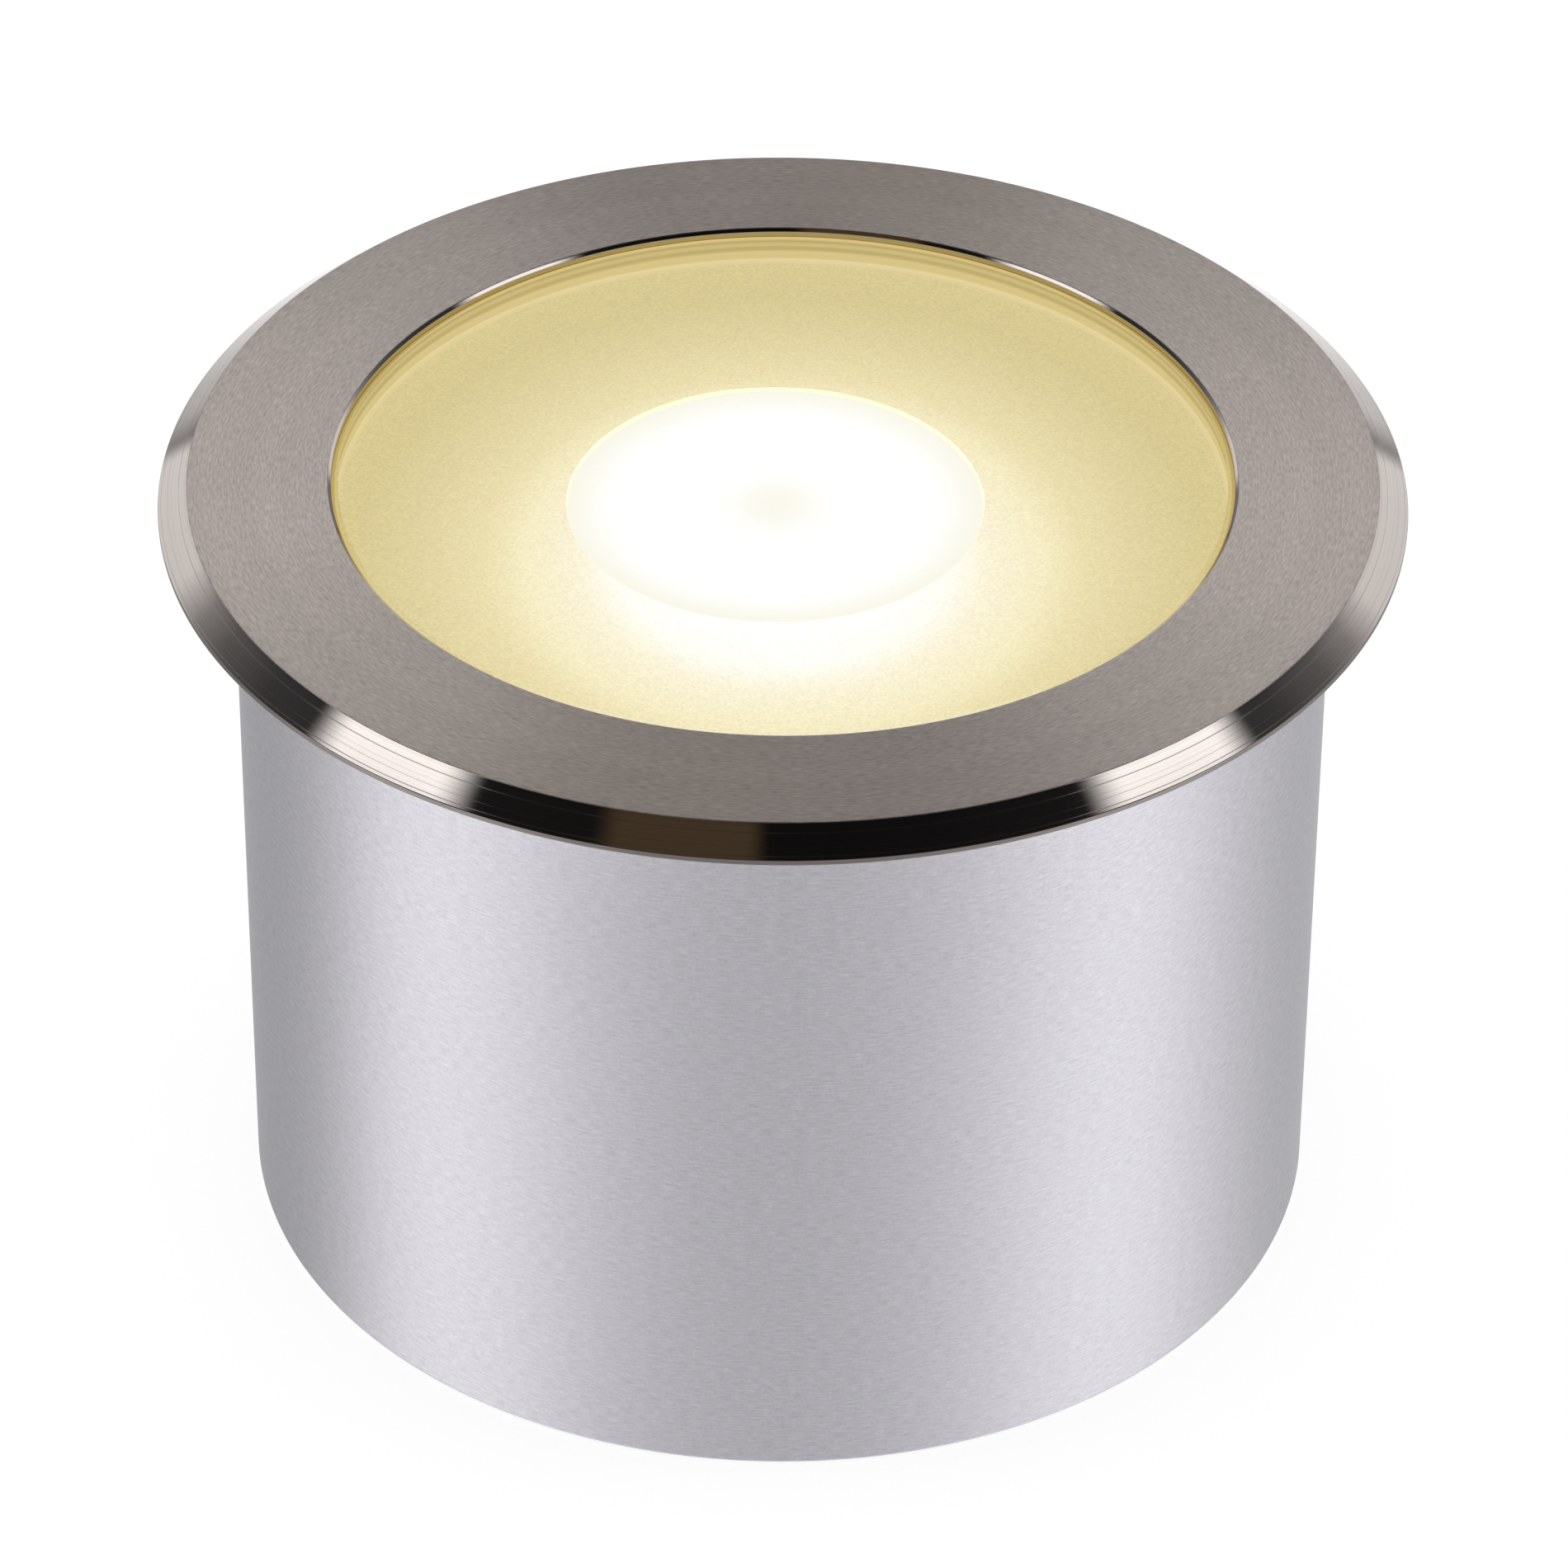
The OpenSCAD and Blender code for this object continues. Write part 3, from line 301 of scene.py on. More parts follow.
def rounded(corners, steps=4):
    """A closed outline of (radius, height, round) corners. Each corner turns to a small arc, with a
    point just before and after it that keeps the bands between the corners flat."""
    points = []
    count = len(corners)
    for i, (r, z, round_r) in enumerate(corners):
        here = Vector((r, z))
        back = Vector(corners[i - 1][:2]) - here
        ahead = Vector(corners[(i + 1) % count][:2]) - here
        if round_r <= 0:
            points.append((r, z))
            continue
        back.normalize()
        ahead.normalize()
        half = back.angle(ahead) / 2
        reach = round_r / math.tan(half)
        middle = here + (back + ahead).normalized() * (round_r / math.sin(half))
        start = here + back * reach
        end = here + ahead * reach
        points.append(tuple(start + back * (round_r * 0.3)))
        for k in range(steps + 1):
            mixed = (start.lerp(end, k / steps) - middle).normalized() * round_r
            points.append(tuple(middle + mixed))
        points.append(tuple(end + ahead * (round_r * 0.3)))
    return points


def circle(work, radius, height, sides, middle=(0, 0)):
    """A circle of points round an upright line; a radius of 0 gives one point for all its sides."""
    if radius < 1e-7:
        return [work.verts.new((*middle, height))] * sides
    return [work.verts.new((middle[0] + radius * math.cos(math.tau * k / sides),
                            middle[1] + radius * math.sin(math.tau * k / sides), height))
            for k in range(sides)]


def band(work, one, two):
    """The faces between two circles of points."""
    faces = []
    for k in range(len(one)):
        j = (k + 1) % len(one)
        corners = list(dict.fromkeys((one[k], one[j], two[j], two[k])))
        if len(corners) > 2:
            faces.append(work.faces.new(corners))
    return faces


def closed(work, name):
    """The mesh of a closed skin, with its faces outwards."""
    bmesh.ops.recalc_face_normals(work, faces=work.faces)
    mesh = bpy.data.meshes.new(name)
    work.to_mesh(mesh)
    work.free()
    return mesh


def piece(name, mesh, material, sharp=32.0):
    """A finished mesh as an object at the origin, smooth except at its edges."""
    for face in mesh.polygons:
        face.use_smooth = True
    mesh.set_sharp_from_angle(angle=math.radians(sharp))
    for one in material if isinstance(material, (list, tuple)) else [material]:
        mesh.materials.append(one)
    made = bpy.data.objects.new(name, mesh)
    bpy.context.scene.collection.objects.link(made)
    return made


def lathe(name, outline, material, sides, middle=(0, 0)):
    """A ring turned from a closed outline of (radius, height) points, or a disc if they meet the
    axis."""
    work = bmesh.new()
    rows = [circle(work, radius, height, sides, middle) for radius, height in outline]
    for one, two in zip(rows, rows[1:] + rows[:1]):
        band(work, one, two)
    return piece(name, closed(work, name), material)


def turned_metal(name, colour, rough, line, tooth=0.25, grain=0.6, bright=0.0, drop=0.0, gloss=0.1,
                 painted_shade_rim=0.0, foot=0.0):
    """Metal that was cut on a lathe: fine rings and short dashes round the axis in colour, gloss
    and height. Between the heights foot and bright it is cut to a gloss, with fine streaks in it,
    and outside a given radius its colour is painted near black, a painted shade."""
    paint = Paint(name)
    place = paint.object_place()
    radius = paint.radius(place)
    up_down = paint.axis(place, "Z")
    across = radius + up_down * 0.7    # upright walls get their lines from the height
    lines = paint.noise_along(across, line, 4.0, 0.7)
    broad = paint.noise_along(across, line / 14, 2.0)
    cloud = paint.noise(place, 60.0, 3.0)
    speck = paint.dashes(place, across, line * 0.95)
    cut = (1 - up_down.step(bright - drop, bright)) * (up_down > foot) if bright > 0 else 0.0
    drawn = paint.noise_along(across, line * 1.3, 3.0, 0.65)
    streak = drawn.step(0.54, 0.66)
    shade = (speck - 0.5) * (1 - cut) * (tooth * 2.5) + (lines - 0.5) * (tooth * 1.2)
    shade = shade - streak * cut * 0.3 + (broad - 0.5) * (tooth * 0.3)
    shade = shade + (cloud - 0.5) * (tooth * 0.1)
    dark = tuple(c * 0.78 for c in colour)
    light = tuple(min(1.0, c * 1.2) for c in colour)
    tint = paint.blend((shade + 0.5).clamped(), dark, light)
    # Painted shade: outside the given radius the colour goes near black, so the outer land shows as
    # a dark line.
    if painted_shade_rim > 0:
        tint = paint.blend((radius > painted_shade_rim) * 0.8, tint, (0.06, 0.05, 0.045))
    roughness = lines * 0.1 + cloud * 0.06 + (rough - 0.08)
    height = lines * 0.7 + speck * 0.5
    if bright > 0:
        cut_gloss = streak * 0.14 + broad.step(0.55, 0.8) * 0.08 + gloss
        roughness = roughness * (1 - cut) + cut * cut_gloss
        height = height * (1 - cut) + cut * broad * 2.5
    return paint.surface({
        "Base Color": tint, "Metallic": 1.0, "Roughness": roughness, "Anisotropic": grain,
        "Anisotropic Rotation": 0.25, "Normal": paint.bump(height, 0.25, 0.00003)})


# The ring's outer land gets a painted shade: its colour is painted near black.
ring_steel = turned_metal("ring_steel", steel, 0.46, 5200.0, tooth=0.85, grain=0.85,
                          bright=ring_top_z - 0.00003, drop=0.00005, gloss=0.055,
                          painted_shade_rim=ring_r - 0.00004, foot=ring_bottom_z + 0.00003)
trim_ring = lathe("ring_plate", rounded([
    (opening_r, ring_bottom_z, 0.0002), (opening_r, ring_top_z - bore_chamfer_h, 0.00002),
    (opening_r + bore_chamfer_w, ring_top_z, 0.00002),
    (ring_r - ring_chamfer_w, ring_top_z, 0.0002), (ring_r, ring_top_z - ring_chamfer_h, 0.00012),
    (ring_r, ring_bottom_z, 0.00015), (body_r + groove_w, ring_bottom_z, 0),
    (body_r + groove_w, ring_bottom_z + groove_h, 0), (groove_r, ring_bottom_z + groove_h, 0),
    (groove_r, ring_bottom_z, 0)]), ring_steel, 360)
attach(trim_ring, "cover")
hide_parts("trim_ring")


# ---- Glass
# Toughened glass, 8 mm thick, with ground edges. Its underside is frosted all round the disc. The
# light that is caught inside it is painted as a warm white glow on the frost, and as a glow in
# darker and lighter bands on the rim, with painted reflections and shade in them.
glass_r = 0.04665
glass_top_z = 0.086
glass_foot_z = 0.07803
glass_arris = 0.0004
glass_thickness = 0.008
disc_r = 0.0218
disc_x = -0.0008
# The painted glow's middle sits 10.5 mm to the front of the glass's middle, and it stays there from
# any side.
glow_middle = (0.0, -0.0105, 0.0)
glow_stretch = (1.12, 1.0, 0.0)
glow_reach = 0.05

clear = Paint("clear_glass")
place = clear.object_place()
smear = clear.noise(place, 90.0, 3.0)
clear_glass = clear.surface({
    "Base Color": clear.blend(smear, (0.97, 0.98, 0.96), (1.0, 1.0, 0.99)),
    "Roughness": smear * 0.02 + 0.01, "IOR": 1.5, "Transmission Weight": 1.0})

frost = Paint("frosted_glass")
place = frost.object_place()
from_glow = frost.radius(place, glow_middle, glow_stretch)
grain = frost.noise(place, 3300.0, 2.0, 0.6)
# Painted glow: white at its middle, going warmer and darker towards the rim.
painted_glow_colour = frost.ramp(from_glow / glow_reach + (grain - 0.5) * 0.03, [
    (0.0, (1.0, 1.0, 1.0)), (0.27, (0.985, 0.975, 0.94)), (0.376, (0.965, 0.948, 0.885)),
    (0.47, (0.9, 0.835, 0.63)), (0.53, (0.868, 0.8, 0.56)), (0.6, (0.85, 0.772, 0.49)),
    (0.7, (0.75, 0.65, 0.345)), (0.86, (0.655, 0.56, 0.265)), (1.0, (0.59, 0.495, 0.2))])
painted_glow_colour = frost.vector("SCALE", painted_glow_colour, None, None, grain * 0.36 + 0.82)
frost_colour = frost.vector("SCALE", (0.1, 0.1, 0.09), None, None, grain * 2)
frosted_glass = frost.surface({
    "Base Color": frost_colour, "Roughness": 0.7, "Specular IOR Level": 0.0,
    "Emission Color": painted_glow_colour, "Emission Strength": 1.03})

edge = Paint("painted_glass_edge")
place = edge.object_place()
height = edge.axis(place, "Z")
streak = edge.noise(edge.vector("MULTIPLY", place, (300.0, 300.0, 2500.0)), 1.0, 2.0)
# Painted glow on the ground edge, in darker and lighter bands up its height: painted reflections of
# the ring's bore, and painted shade.
edge_painted_bands = edge.ramp((height - glass_foot_z) / glass_thickness + (streak - 0.5) * 0.02, [
    (0.0, (0.6, 0.49, 0.21)), (0.09, (0.66, 0.55, 0.24)), (0.16, (0.52, 0.41, 0.14)),
    (0.38, (0.54, 0.42, 0.13)), (0.44, (0.4, 0.29, 0.06)), (0.53, (0.35, 0.25, 0.045)),
    (0.62, (0.47, 0.36, 0.09)), (0.7, (0.44, 0.33, 0.08)), (0.76, (0.3, 0.215, 0.04)),
    (0.84, (0.52, 0.38, 0.1)), (0.95, (0.62, 0.46, 0.125))])
painted_glass_edge = edge.surface({
    "Base Color": (0.2, 0.19, 0.15), "Roughness": 0.6, "Specular IOR Level": 0.0,
    "Emission Color": edge_painted_bands, "Emission Strength": 1.0})

clear_face, frosted_face, edge_face = 0, 1, 2
levels = [(0, glass_foot_z, disc_x, clear_face),
          (disc_r, glass_foot_z, disc_x, frosted_face),
          (glass_r - glass_arris, glass_foot_z, 0, edge_face),
          (glass_r, glass_foot_z + glass_arris, 0, edge_face),
          (glass_r, glass_top_z - glass_arris, 0, clear_face),
          (glass_r - glass_arris, glass_top_z, 0, clear_face),
          (0, glass_top_z, 0, clear_face)]
work = bmesh.new()
rows = [circle(work, radius, height, 360, (x, 0)) for radius, height, x, finish in levels]
for one, two, level in zip(rows, rows[1:], levels):
    for face in band(work, one, two):
        face.material_index = level[3]
glass = piece("glass_pane", closed(work, "glass_pane"),
              [clear_glass, frosted_glass, painted_glass_edge], 20.0)
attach(glass, "cover")
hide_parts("glass")


# ---- Sealant and gasket
# A thin bead of honey-coloured silicone fills the gap between the glass and the ring's bore, and
# has a painted glow for the glass's light that it catches. A pale silicone gasket lies under the
# glass's rim.
bead_top_z = 0.0856
bead_dip = 0.00017
bead_play = 0.00002
bead_round = 0.00003


def rubber(name, colour, rough=0.6, speck=900.0, glow=None):
    """Rubber or silicone: matt, with dust, a moulding haze and a fine uneven skin."""
    paint = Paint(name)
    place = paint.object_place()
    haze = paint.noise(place, 70.0, 3.0)
    dust = paint.noise(place, speck, 3.0, 0.65)
    pale = tuple(c * 0.8 + 0.07 for c in colour)
    dark = tuple(c * 0.85 for c in colour)
    tint = paint.blend((haze * 0.6 + dust.step(0.52, 0.8) * 0.5).clamped(), dark, pale)
    skin = paint.bump(dust * 0.7 + haze * 0.3, 0.2, 0.00004)
    # Where a glow is given, it is a painted glow of light, patchy with the haze.
    lit = paint.blend(haze, glow, tuple(c * 0.7 for c in glow)) if glow else (0.0, 0.0, 0.0)
    return paint.surface({
        "Base Color": tint, "Roughness": dust * 0.18 + (rough - 0.09), "Normal": skin,
        "Emission Color": lit, "Emission Strength": 1.0 if glow else 0.0})


# The bead's glow is painted light from the glass.
bead = lathe("sealant_bead", rounded([
    (glass_r + bead_play, ring_bottom_z, 0), (opening_r - bead_play, ring_bottom_z, 0),
    (opening_r - bead_play, bead_top_z, bead_round),
    (glass_r + bead_play, bead_top_z - bead_dip, bead_round)], 2),
    rubber("honey_silicone", (0.34, 0.24, 0.09), 0.4, glow=(0.34, 0.26, 0.07)), 360)
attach(bead, "cover")
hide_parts("glass_sealant")


def repaint(name, material):
    """A CAD piece keeps its shape and gets its finish."""
    mesh = frame["nodes"][name].data
    mesh.materials.clear()
    mesh.materials.append(material)


def eased(node, width, material):
    """A CAD piece's own shape as one closed skin, with its sharp edges eased by a width, as a
    mould, a file or a tumbling drum leaves them."""
    work = bmesh.new()
    work.from_mesh(frame["nodes"][node].data)
    bmesh.ops.remove_doubles(work, verts=work.verts, dist=0.000002)
    bmesh.ops.dissolve_limit(work, angle_limit=math.radians(0.5),
                             verts=work.verts, edges=work.edges)
    sharp = [line for line in work.edges
             if len(line.link_faces) == 2 and line.calc_face_angle() > math.radians(35)]
    bmesh.ops.bevel(work, geom=sharp, offset=width, segments=2, profile=0.5, affect="EDGES",
                    clamp_overlap=True)
    made = piece(node + "_skin", closed(work, node + "_skin"), material, 20.0)
    bodies = frame["record"]["behaviour"]["bodies"]
    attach(made, next(body for body, nodes in bodies.items() if node in nodes))
    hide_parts(node)


repaint("glass_gasket", rubber("pale_silicone", (0.72, 0.7, 0.62), 0.5))


# ---- Collar
# Turned from aluminium bar, with a thread that screws into the body, a lip for the glass and a
# groove for its O-ring. Six screws from below hold the ring on it.
thread_top_z = 0.0804
thread_pitch = 0.002
thread_depth = 0.0005
thread_r = 0.0544
thread = Paint("collar_thread")
place = thread.object_place()
east = thread.axis(place, "X")
north = thread.axis(place, "Y")
height = thread.axis(place, "Z")
turns = north.math("ARCTAN2", east) / math.tau + height / thread_pitch
radius = thread.radius(place)
threaded = (radius > thread_r) * (height < thread_top_z)
ridge = (turns.math("FRACT") - 0.5).math("ABSOLUTE") * 2 * threaded
lines = thread.noise_along(radius + height * 0.7, 5200.0, 3.0)
# The colour is darker in the thread's grooves, patchy with a noise.
darker_in_grooves = thread.noise(place, 400.0, 3.0) * (1 - ridge) * threaded
tint = thread.blend((darker_in_grooves * 0.6 + (1 - lines) * 0.25).clamped(),
                    (0.74, 0.74, 0.76), (0.42, 0.42, 0.43))
cut = thread.bump(lines, 0.12, 0.00003, thread.bump(ridge, 0.9, thread_depth))
eased("glass_carrier", 0.00012, thread.surface({
    "Base Color": tint, "Metallic": 1.0, "Roughness": lines * 0.12 + 0.24, "Normal": cut}))


# ---- Socket screws
# Small stainless screws with round heads and hexagon sockets, their edges tumbled soft. The same
# sort holds the ring, the circuit board, the heat sink and, one size larger, the bottom cover.
def socket_screw(name, shank_r, shank_l, head_r, head_h, material):
    """One screw with its head above zero: rows of points from the socket's floor to the tip."""
    sides = 36
    socket_r = head_r * 0.5
    socket_floor = head_h * 0.45
    pitch = shank_r / 3
    work = bmesh.new()

    def round_row(radius, height):
        return circle(work, radius, height, sides)

    def hexagon_row(flat, height):
        row = []
        for k in range(sides):
            angle = math.tau * k / sides
            out = flat / math.cos((angle % (math.tau / 6)) - math.tau / 12)
            row.append(work.verts.new((out * math.cos(angle), out * math.sin(angle), height)))
        return row

    rows = [round_row(0, socket_floor - 0.0002), round_row(socket_r * 0.5, socket_floor - 0.00012),
            hexagon_row(socket_r * 0.97, socket_floor),
            hexagon_row(socket_r, socket_floor + 0.00005),
            hexagon_row(socket_r, head_h - 0.00008), hexagon_row(socket_r * 1.05, head_h)]
    rows += [round_row(head_r * across, head_h * up) for across, up in (
        (0.84, 1.0), (0.93, 0.95), (0.985, 0.86), (1.0, 0.76), (1.0, 0.08), (0.98, 0.0))]
    rows.append(round_row(shank_r, 0.0))
    z = -pitch
    while z > -shank_l + pitch * 1.5:
        rows += [round_row(shank_r, z), round_row(shank_r - pitch * 0.45, z - pitch * 0.4),
                 round_row(shank_r, z - pitch * 0.8)]
        z -= pitch
    rows += [round_row(shank_r, -shank_l + pitch), round_row(shank_r * 0.7, -shank_l),
             round_row(0, -shank_l)]
    for one, two in zip(rows, rows[1:]):
        band(work, one, two)
    return piece(name, closed(work, name), material, 40.0)


def screw_circle_tree():
    """Geometry Nodes: the same screw at equal steps round a circle."""
    tree = bpy.data.node_groups.new("screw_circle", "GeometryNodeTree")
    face = tree.interface
    face.new_socket("Geometry", in_out="OUTPUT", socket_type="NodeSocketGeometry")
    for name, kind in (("Screw", "Object"), ("Count", "Int"), ("Radius", "Float"),
                       ("First angle", "Float"), ("Middle", "Vector"), ("Tilt", "Float"),
                       ("Finish", "Material")):
        face.new_socket(name, in_out="INPUT", socket_type="NodeSocket" + kind)
    start = tree.nodes.new("NodeGroupInput")
    end = tree.nodes.new("NodeGroupOutput")
    places = tree.nodes.new("GeometryNodeMeshCircle")
    tree.links.new(start.outputs["Count"], places.inputs["Vertices"])
    tree.links.new(start.outputs["Radius"], places.inputs["Radius"])
    spin = tree.nodes.new("ShaderNodeCombineXYZ")
    tree.links.new(start.outputs["First angle"], spin.inputs["Z"])
    placed = tree.nodes.new("GeometryNodeTransform")
    tree.links.new(places.outputs["Mesh"], placed.inputs["Geometry"])
    tree.links.new(start.outputs["Middle"], placed.inputs["Translation"])
    tree.links.new(spin.outputs["Vector"], placed.inputs["Rotation"])
    info = tree.nodes.new("GeometryNodeObjectInfo")
    tree.links.new(start.outputs["Screw"], info.inputs["Object"])
    lean = tree.nodes.new("ShaderNodeCombineXYZ")
    tree.links.new(start.outputs["Tilt"], lean.inputs["X"])
    copies = tree.nodes.new("GeometryNodeInstanceOnPoints")
    tree.links.new(placed.outputs["Geometry"], copies.inputs["Points"])
    tree.links.new(info.outputs["Geometry"], copies.inputs["Instance"])
    tree.links.new(lean.outputs["Vector"], copies.inputs["Rotation"])
    real = tree.nodes.new("GeometryNodeRealizeInstances")
    tree.links.new(copies.outputs["Instances"], real.inputs["Geometry"])
    coat = tree.nodes.new("GeometryNodeSetMaterial")
    tree.links.new(real.outputs["Geometry"], coat.inputs["Geometry"])
    tree.links.new(start.outputs["Finish"], coat.inputs["Material"])
    tree.links.new(coat.outputs["Geometry"], end.inputs["Geometry"])
    return tree


def grown(name, tree, values, sharp=40.0):
    """The plain mesh that a tree makes, as a piece of its own."""
    seed = bpy.data.objects.new(name + "_seed", bpy.data.meshes.new(name + "_seed"))
    bpy.context.scene.collection.objects.link(seed)
    modifier = seed.modifiers.new("made", "NODES")
    modifier.node_group = tree
    for item in tree.interface.items_tree:
        if item.item_type == "SOCKET" and item.in_out == "INPUT" and item.name in values:
            modifier[item.identifier] = values[item.name]
    seed.update_tag()
    bpy.context.view_layer.update()
    evaluated = seed.evaluated_get(bpy.context.evaluated_depsgraph_get())
    mesh = bpy.data.meshes.new_from_object(evaluated)
    mesh.name = name
    seed.modifiers.clear()
    bpy.data.objects.remove(seed)
    materials = [m for m in mesh.materials if m]
    mesh.materials.clear()
    return piece(name, mesh, materials, sharp)


screw_steel = turned_metal("screw_steel", (0.6, 0.6, 0.61), 0.3, 3800.0, tooth=0.3, grain=0.3)
screw_circle = screw_circle_tree()


def screws(name, node, body, shank_r, shank_l, head_r, head_h, count, radius, angle, middle,
           down=False):
    """A circle of screws that stands for a CAD node, with the undersides of the heads at middle."""
    one = socket_screw(name + "_one", shank_r, shank_l, head_r, head_h, screw_steel)
    made = grown(name, screw_circle, {
        "Screw": one, "Count": count, "Radius": radius, "First angle": math.radians(angle),
        "Middle": middle, "Tilt": math.pi if down else 0.0, "Finish": screw_steel})
    bpy.data.objects.remove(one)
    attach(made, body)
    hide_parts(node)


screws("ring_screws", "carrier_screws", "cover",
       shank_r=0.0015, shank_l=0.00775, head_r=0.00275, head_h=0.0024,
       count=6, radius=0.0501, angle=0, middle=(0, 0, 0.0777), down=True)


# ---- Opal disc
# A disc of opal plastic in the reflector's mouth, lit evenly from below, with a faint softer spot
# over the light source and a warmer line along its edge.
disc_foot_z = 0.0762
disc_top_z = 0.0777
disc_round = 0.0003

opal = Paint("opal_disc")
place = opal.object_place()
from_middle = opal.radius(place, (disc_x, 0.0, 0.0))
haze = opal.noise(place, 300.0, 2.0)
opal_colour = opal.ramp(from_middle / disc_r + (haze - 0.5) * 0.01, [
    (0.0, (0.77, 0.752, 0.666)), (0.12, (0.78, 0.77, 0.715)), (0.3, (0.842, 0.842, 0.84)),
    (0.78, (0.845, 0.845, 0.838)), (0.88, (0.795, 0.788, 0.74)), (1.0, (0.76, 0.738, 0.62))])
opal_disc = opal.surface({
    "Base Color": (0.1, 0.1, 0.1), "Roughness": 0.4, "Specular IOR Level": 0.0,
    "Emission Color": opal_colour, "Emission Strength": 1.18})
disc = lathe("opal_disc", rounded([
    (0, disc_foot_z, 0), (disc_r, disc_foot_z, disc_round), (disc_r, disc_top_z, disc_round),
    (0, disc_top_z, 0)]), opal_disc, 192, (disc_x, 0))
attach(disc, "housing")
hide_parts("diffuser_disc")


# ---- Body tube
# A plain aluminium tube, turned and then anodised to a satin, faintly lilac grey. Its lower edge is
# broken, and two rings inside it carry the bottom cover and the heat sink.
bore_r = 0.0549
tube_grey = (0.53, 0.52, 0.555)

satin = Paint("body_satin")
place = satin.object_place()
height = satin.axis(place, "Z")
rings = satin.noise_along(height, 5200.0, 4.0, 0.7)
grain = satin.noise(place, 3300.0, 3.0, 0.6)
drawn = satin.dashes(place, height, 4300.0)
cloud = satin.noise(place, 25.0, 2.0)
shade = (rings - 0.5) * 0.6 + (grain - 0.5) * 0.95 + (drawn - 0.5) * 1.4
shade = shade + (cloud - 0.5) * 0.12
tint = satin.blend((shade + 0.5).clamped(), tuple(c * 0.82 for c in tube_grey),
                   tuple(min(1.0, c * 1.18) for c in tube_grey))
lift = satin.bump(rings * 0.4 + grain * 0.3 + drawn * 0.4, 0.18, 0.00004)
body_satin = satin.surface({
    "Base Color": tint, "Metallic": 0.85, "Roughness": grain * 0.12 + 0.36, "Anisotropic": 0.75,
    "Anisotropic Rotation": 0.25, "Normal": lift})
tube = lathe("tube", rounded([
    (bore_r, 0, 0.0003), (body_r, 0, 0.0005), (body_r, ring_bottom_z, 0.0001),
    (bore_r, ring_bottom_z, 0.0001)]), body_satin, 360)
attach(tube, "housing")
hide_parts("body_tube")


# ---- Shelf ring and ledge ring
# Two turned aluminium rings welded into the tube. The bottom cover is screwed to the lower one, and
# the heat sink sits on the upper one.
blank = turned_metal("ring_blank", (0.58, 0.58, 0.61), 0.36, 4200.0, tooth=0.3, grain=0.5)
eased("shelf_ring", 0.00015, blank)
eased("ledge_ring", 0.00015, blank)


# ---- O-ring
# A black rubber cord ring in the collar's groove, greased when it is fitted.
black_rubber = rubber("black_rubber", (0.018, 0.018, 0.02), 0.42)
repaint("cover_seal", black_rubber)


# ---- Reflector
# Spun from bright aluminium sheet. Its rim, just under the frosted glass, has a painted warm glow
# for the light that it catches.
rim_z = 0.0762
mirror = Paint("reflector_metal")
place = mirror.object_place()
radius = mirror.radius(place, (disc_x, 0.0, 0.0))
height = mirror.axis(place, "Z")
spun = mirror.noise_along(radius + height, 1500.0, 3.0)
haze = mirror.noise(place, 110.0, 3.0)
tint = mirror.blend((spun * 0.6 + haze * 0.4).clamped(), (0.78, 0.78, 0.79), (0.93, 0.93, 0.94))
wave = mirror.bump(spun * 0.7 + haze * 0.3, 0.15, 0.00005)
# Painted glow: a warm emission round the rim's top, for the light from the glass.
painted_rim_glow = mirror.blend(height.step(rim_z - 0.0003, rim_z + 0.0001), (0.0, 0.0, 0.0), (0.6, 0.54, 0.34))
eased("reflector", 0.00008, mirror.surface({
    "Base Color": tint, "Metallic": 1.0, "Roughness": haze * 0.1 + 0.12, "Normal": wave,
    "Emission Color": painted_rim_glow, "Emission Strength": 1.0}))


# ---- Reflector holder
# A white moulded ring that presses the reflector and the LED down on the board.
def plastic(name, colour, rough=0.42, grain=1400.0, wear=0.5):
    """Moulded plastic: a fine spark-eroded grain, faint flow marks and dust that lies on it."""
    paint = Paint(name)
    place = paint.object_place()
    skin = paint.noise(place, grain, 3.0, 0.6)
    flow = paint.noise(place, 45.0, 4.0, 0.6)
    dust = paint.noise(place, 260.0, 4.0, 0.7).step(0.56, 0.8) * wear
    pale = tuple(c + (0.55 - c) * 0.16 for c in colour)
    tint = paint.blend((flow.step(0.3, 0.7) * 0.45 + dust * 0.5).clamped(), colour, pale)
    bump = paint.bump(skin * 0.8 + flow * 0.2, 0.2, 0.00004)
    return paint.surface({
        "Base Color": tint, "Roughness": skin * 0.12 + dust * 0.15 + (rough - 0.06),
        "Normal": bump})


holder_plastic = plastic("holder_plastic", (0.82, 0.82, 0.79), 0.38)
eased("reflector_holder", 0.0002, holder_plastic)


# ---- LED
# A chip-on-board LED: a white ceramic square with a round, silicone-filled field of phosphor that
# glows, and two tinned solder lands.
ceramic = plastic("led_ceramic", (0.85, 0.85, 0.81), 0.3, 3000.0, 0.1)
eased("led_package", 0.00006, ceramic)
field = Paint("led_phosphor")
place = field.object_place()
dot = field.node("ShaderNodeTexVoronoi", {}, {"Vector": place, "Scale": 900.0, "Randomness": 0.25})
gel = field.noise(place, 500.0, 2.0)
lit = field.blend(1 - dot.step(0.15, 0.5), (0.95, 0.72, 0.2), (1.0, 0.93, 0.62))
eased("led_phosphor", 0.00006, field.surface({
    "Base Color": field.blend(gel, (0.85, 0.62, 0.1), (0.95, 0.76, 0.2)),
    "Roughness": gel * 0.1 + 0.2, "Emission Color": lit, "Emission Strength": 1.2}))


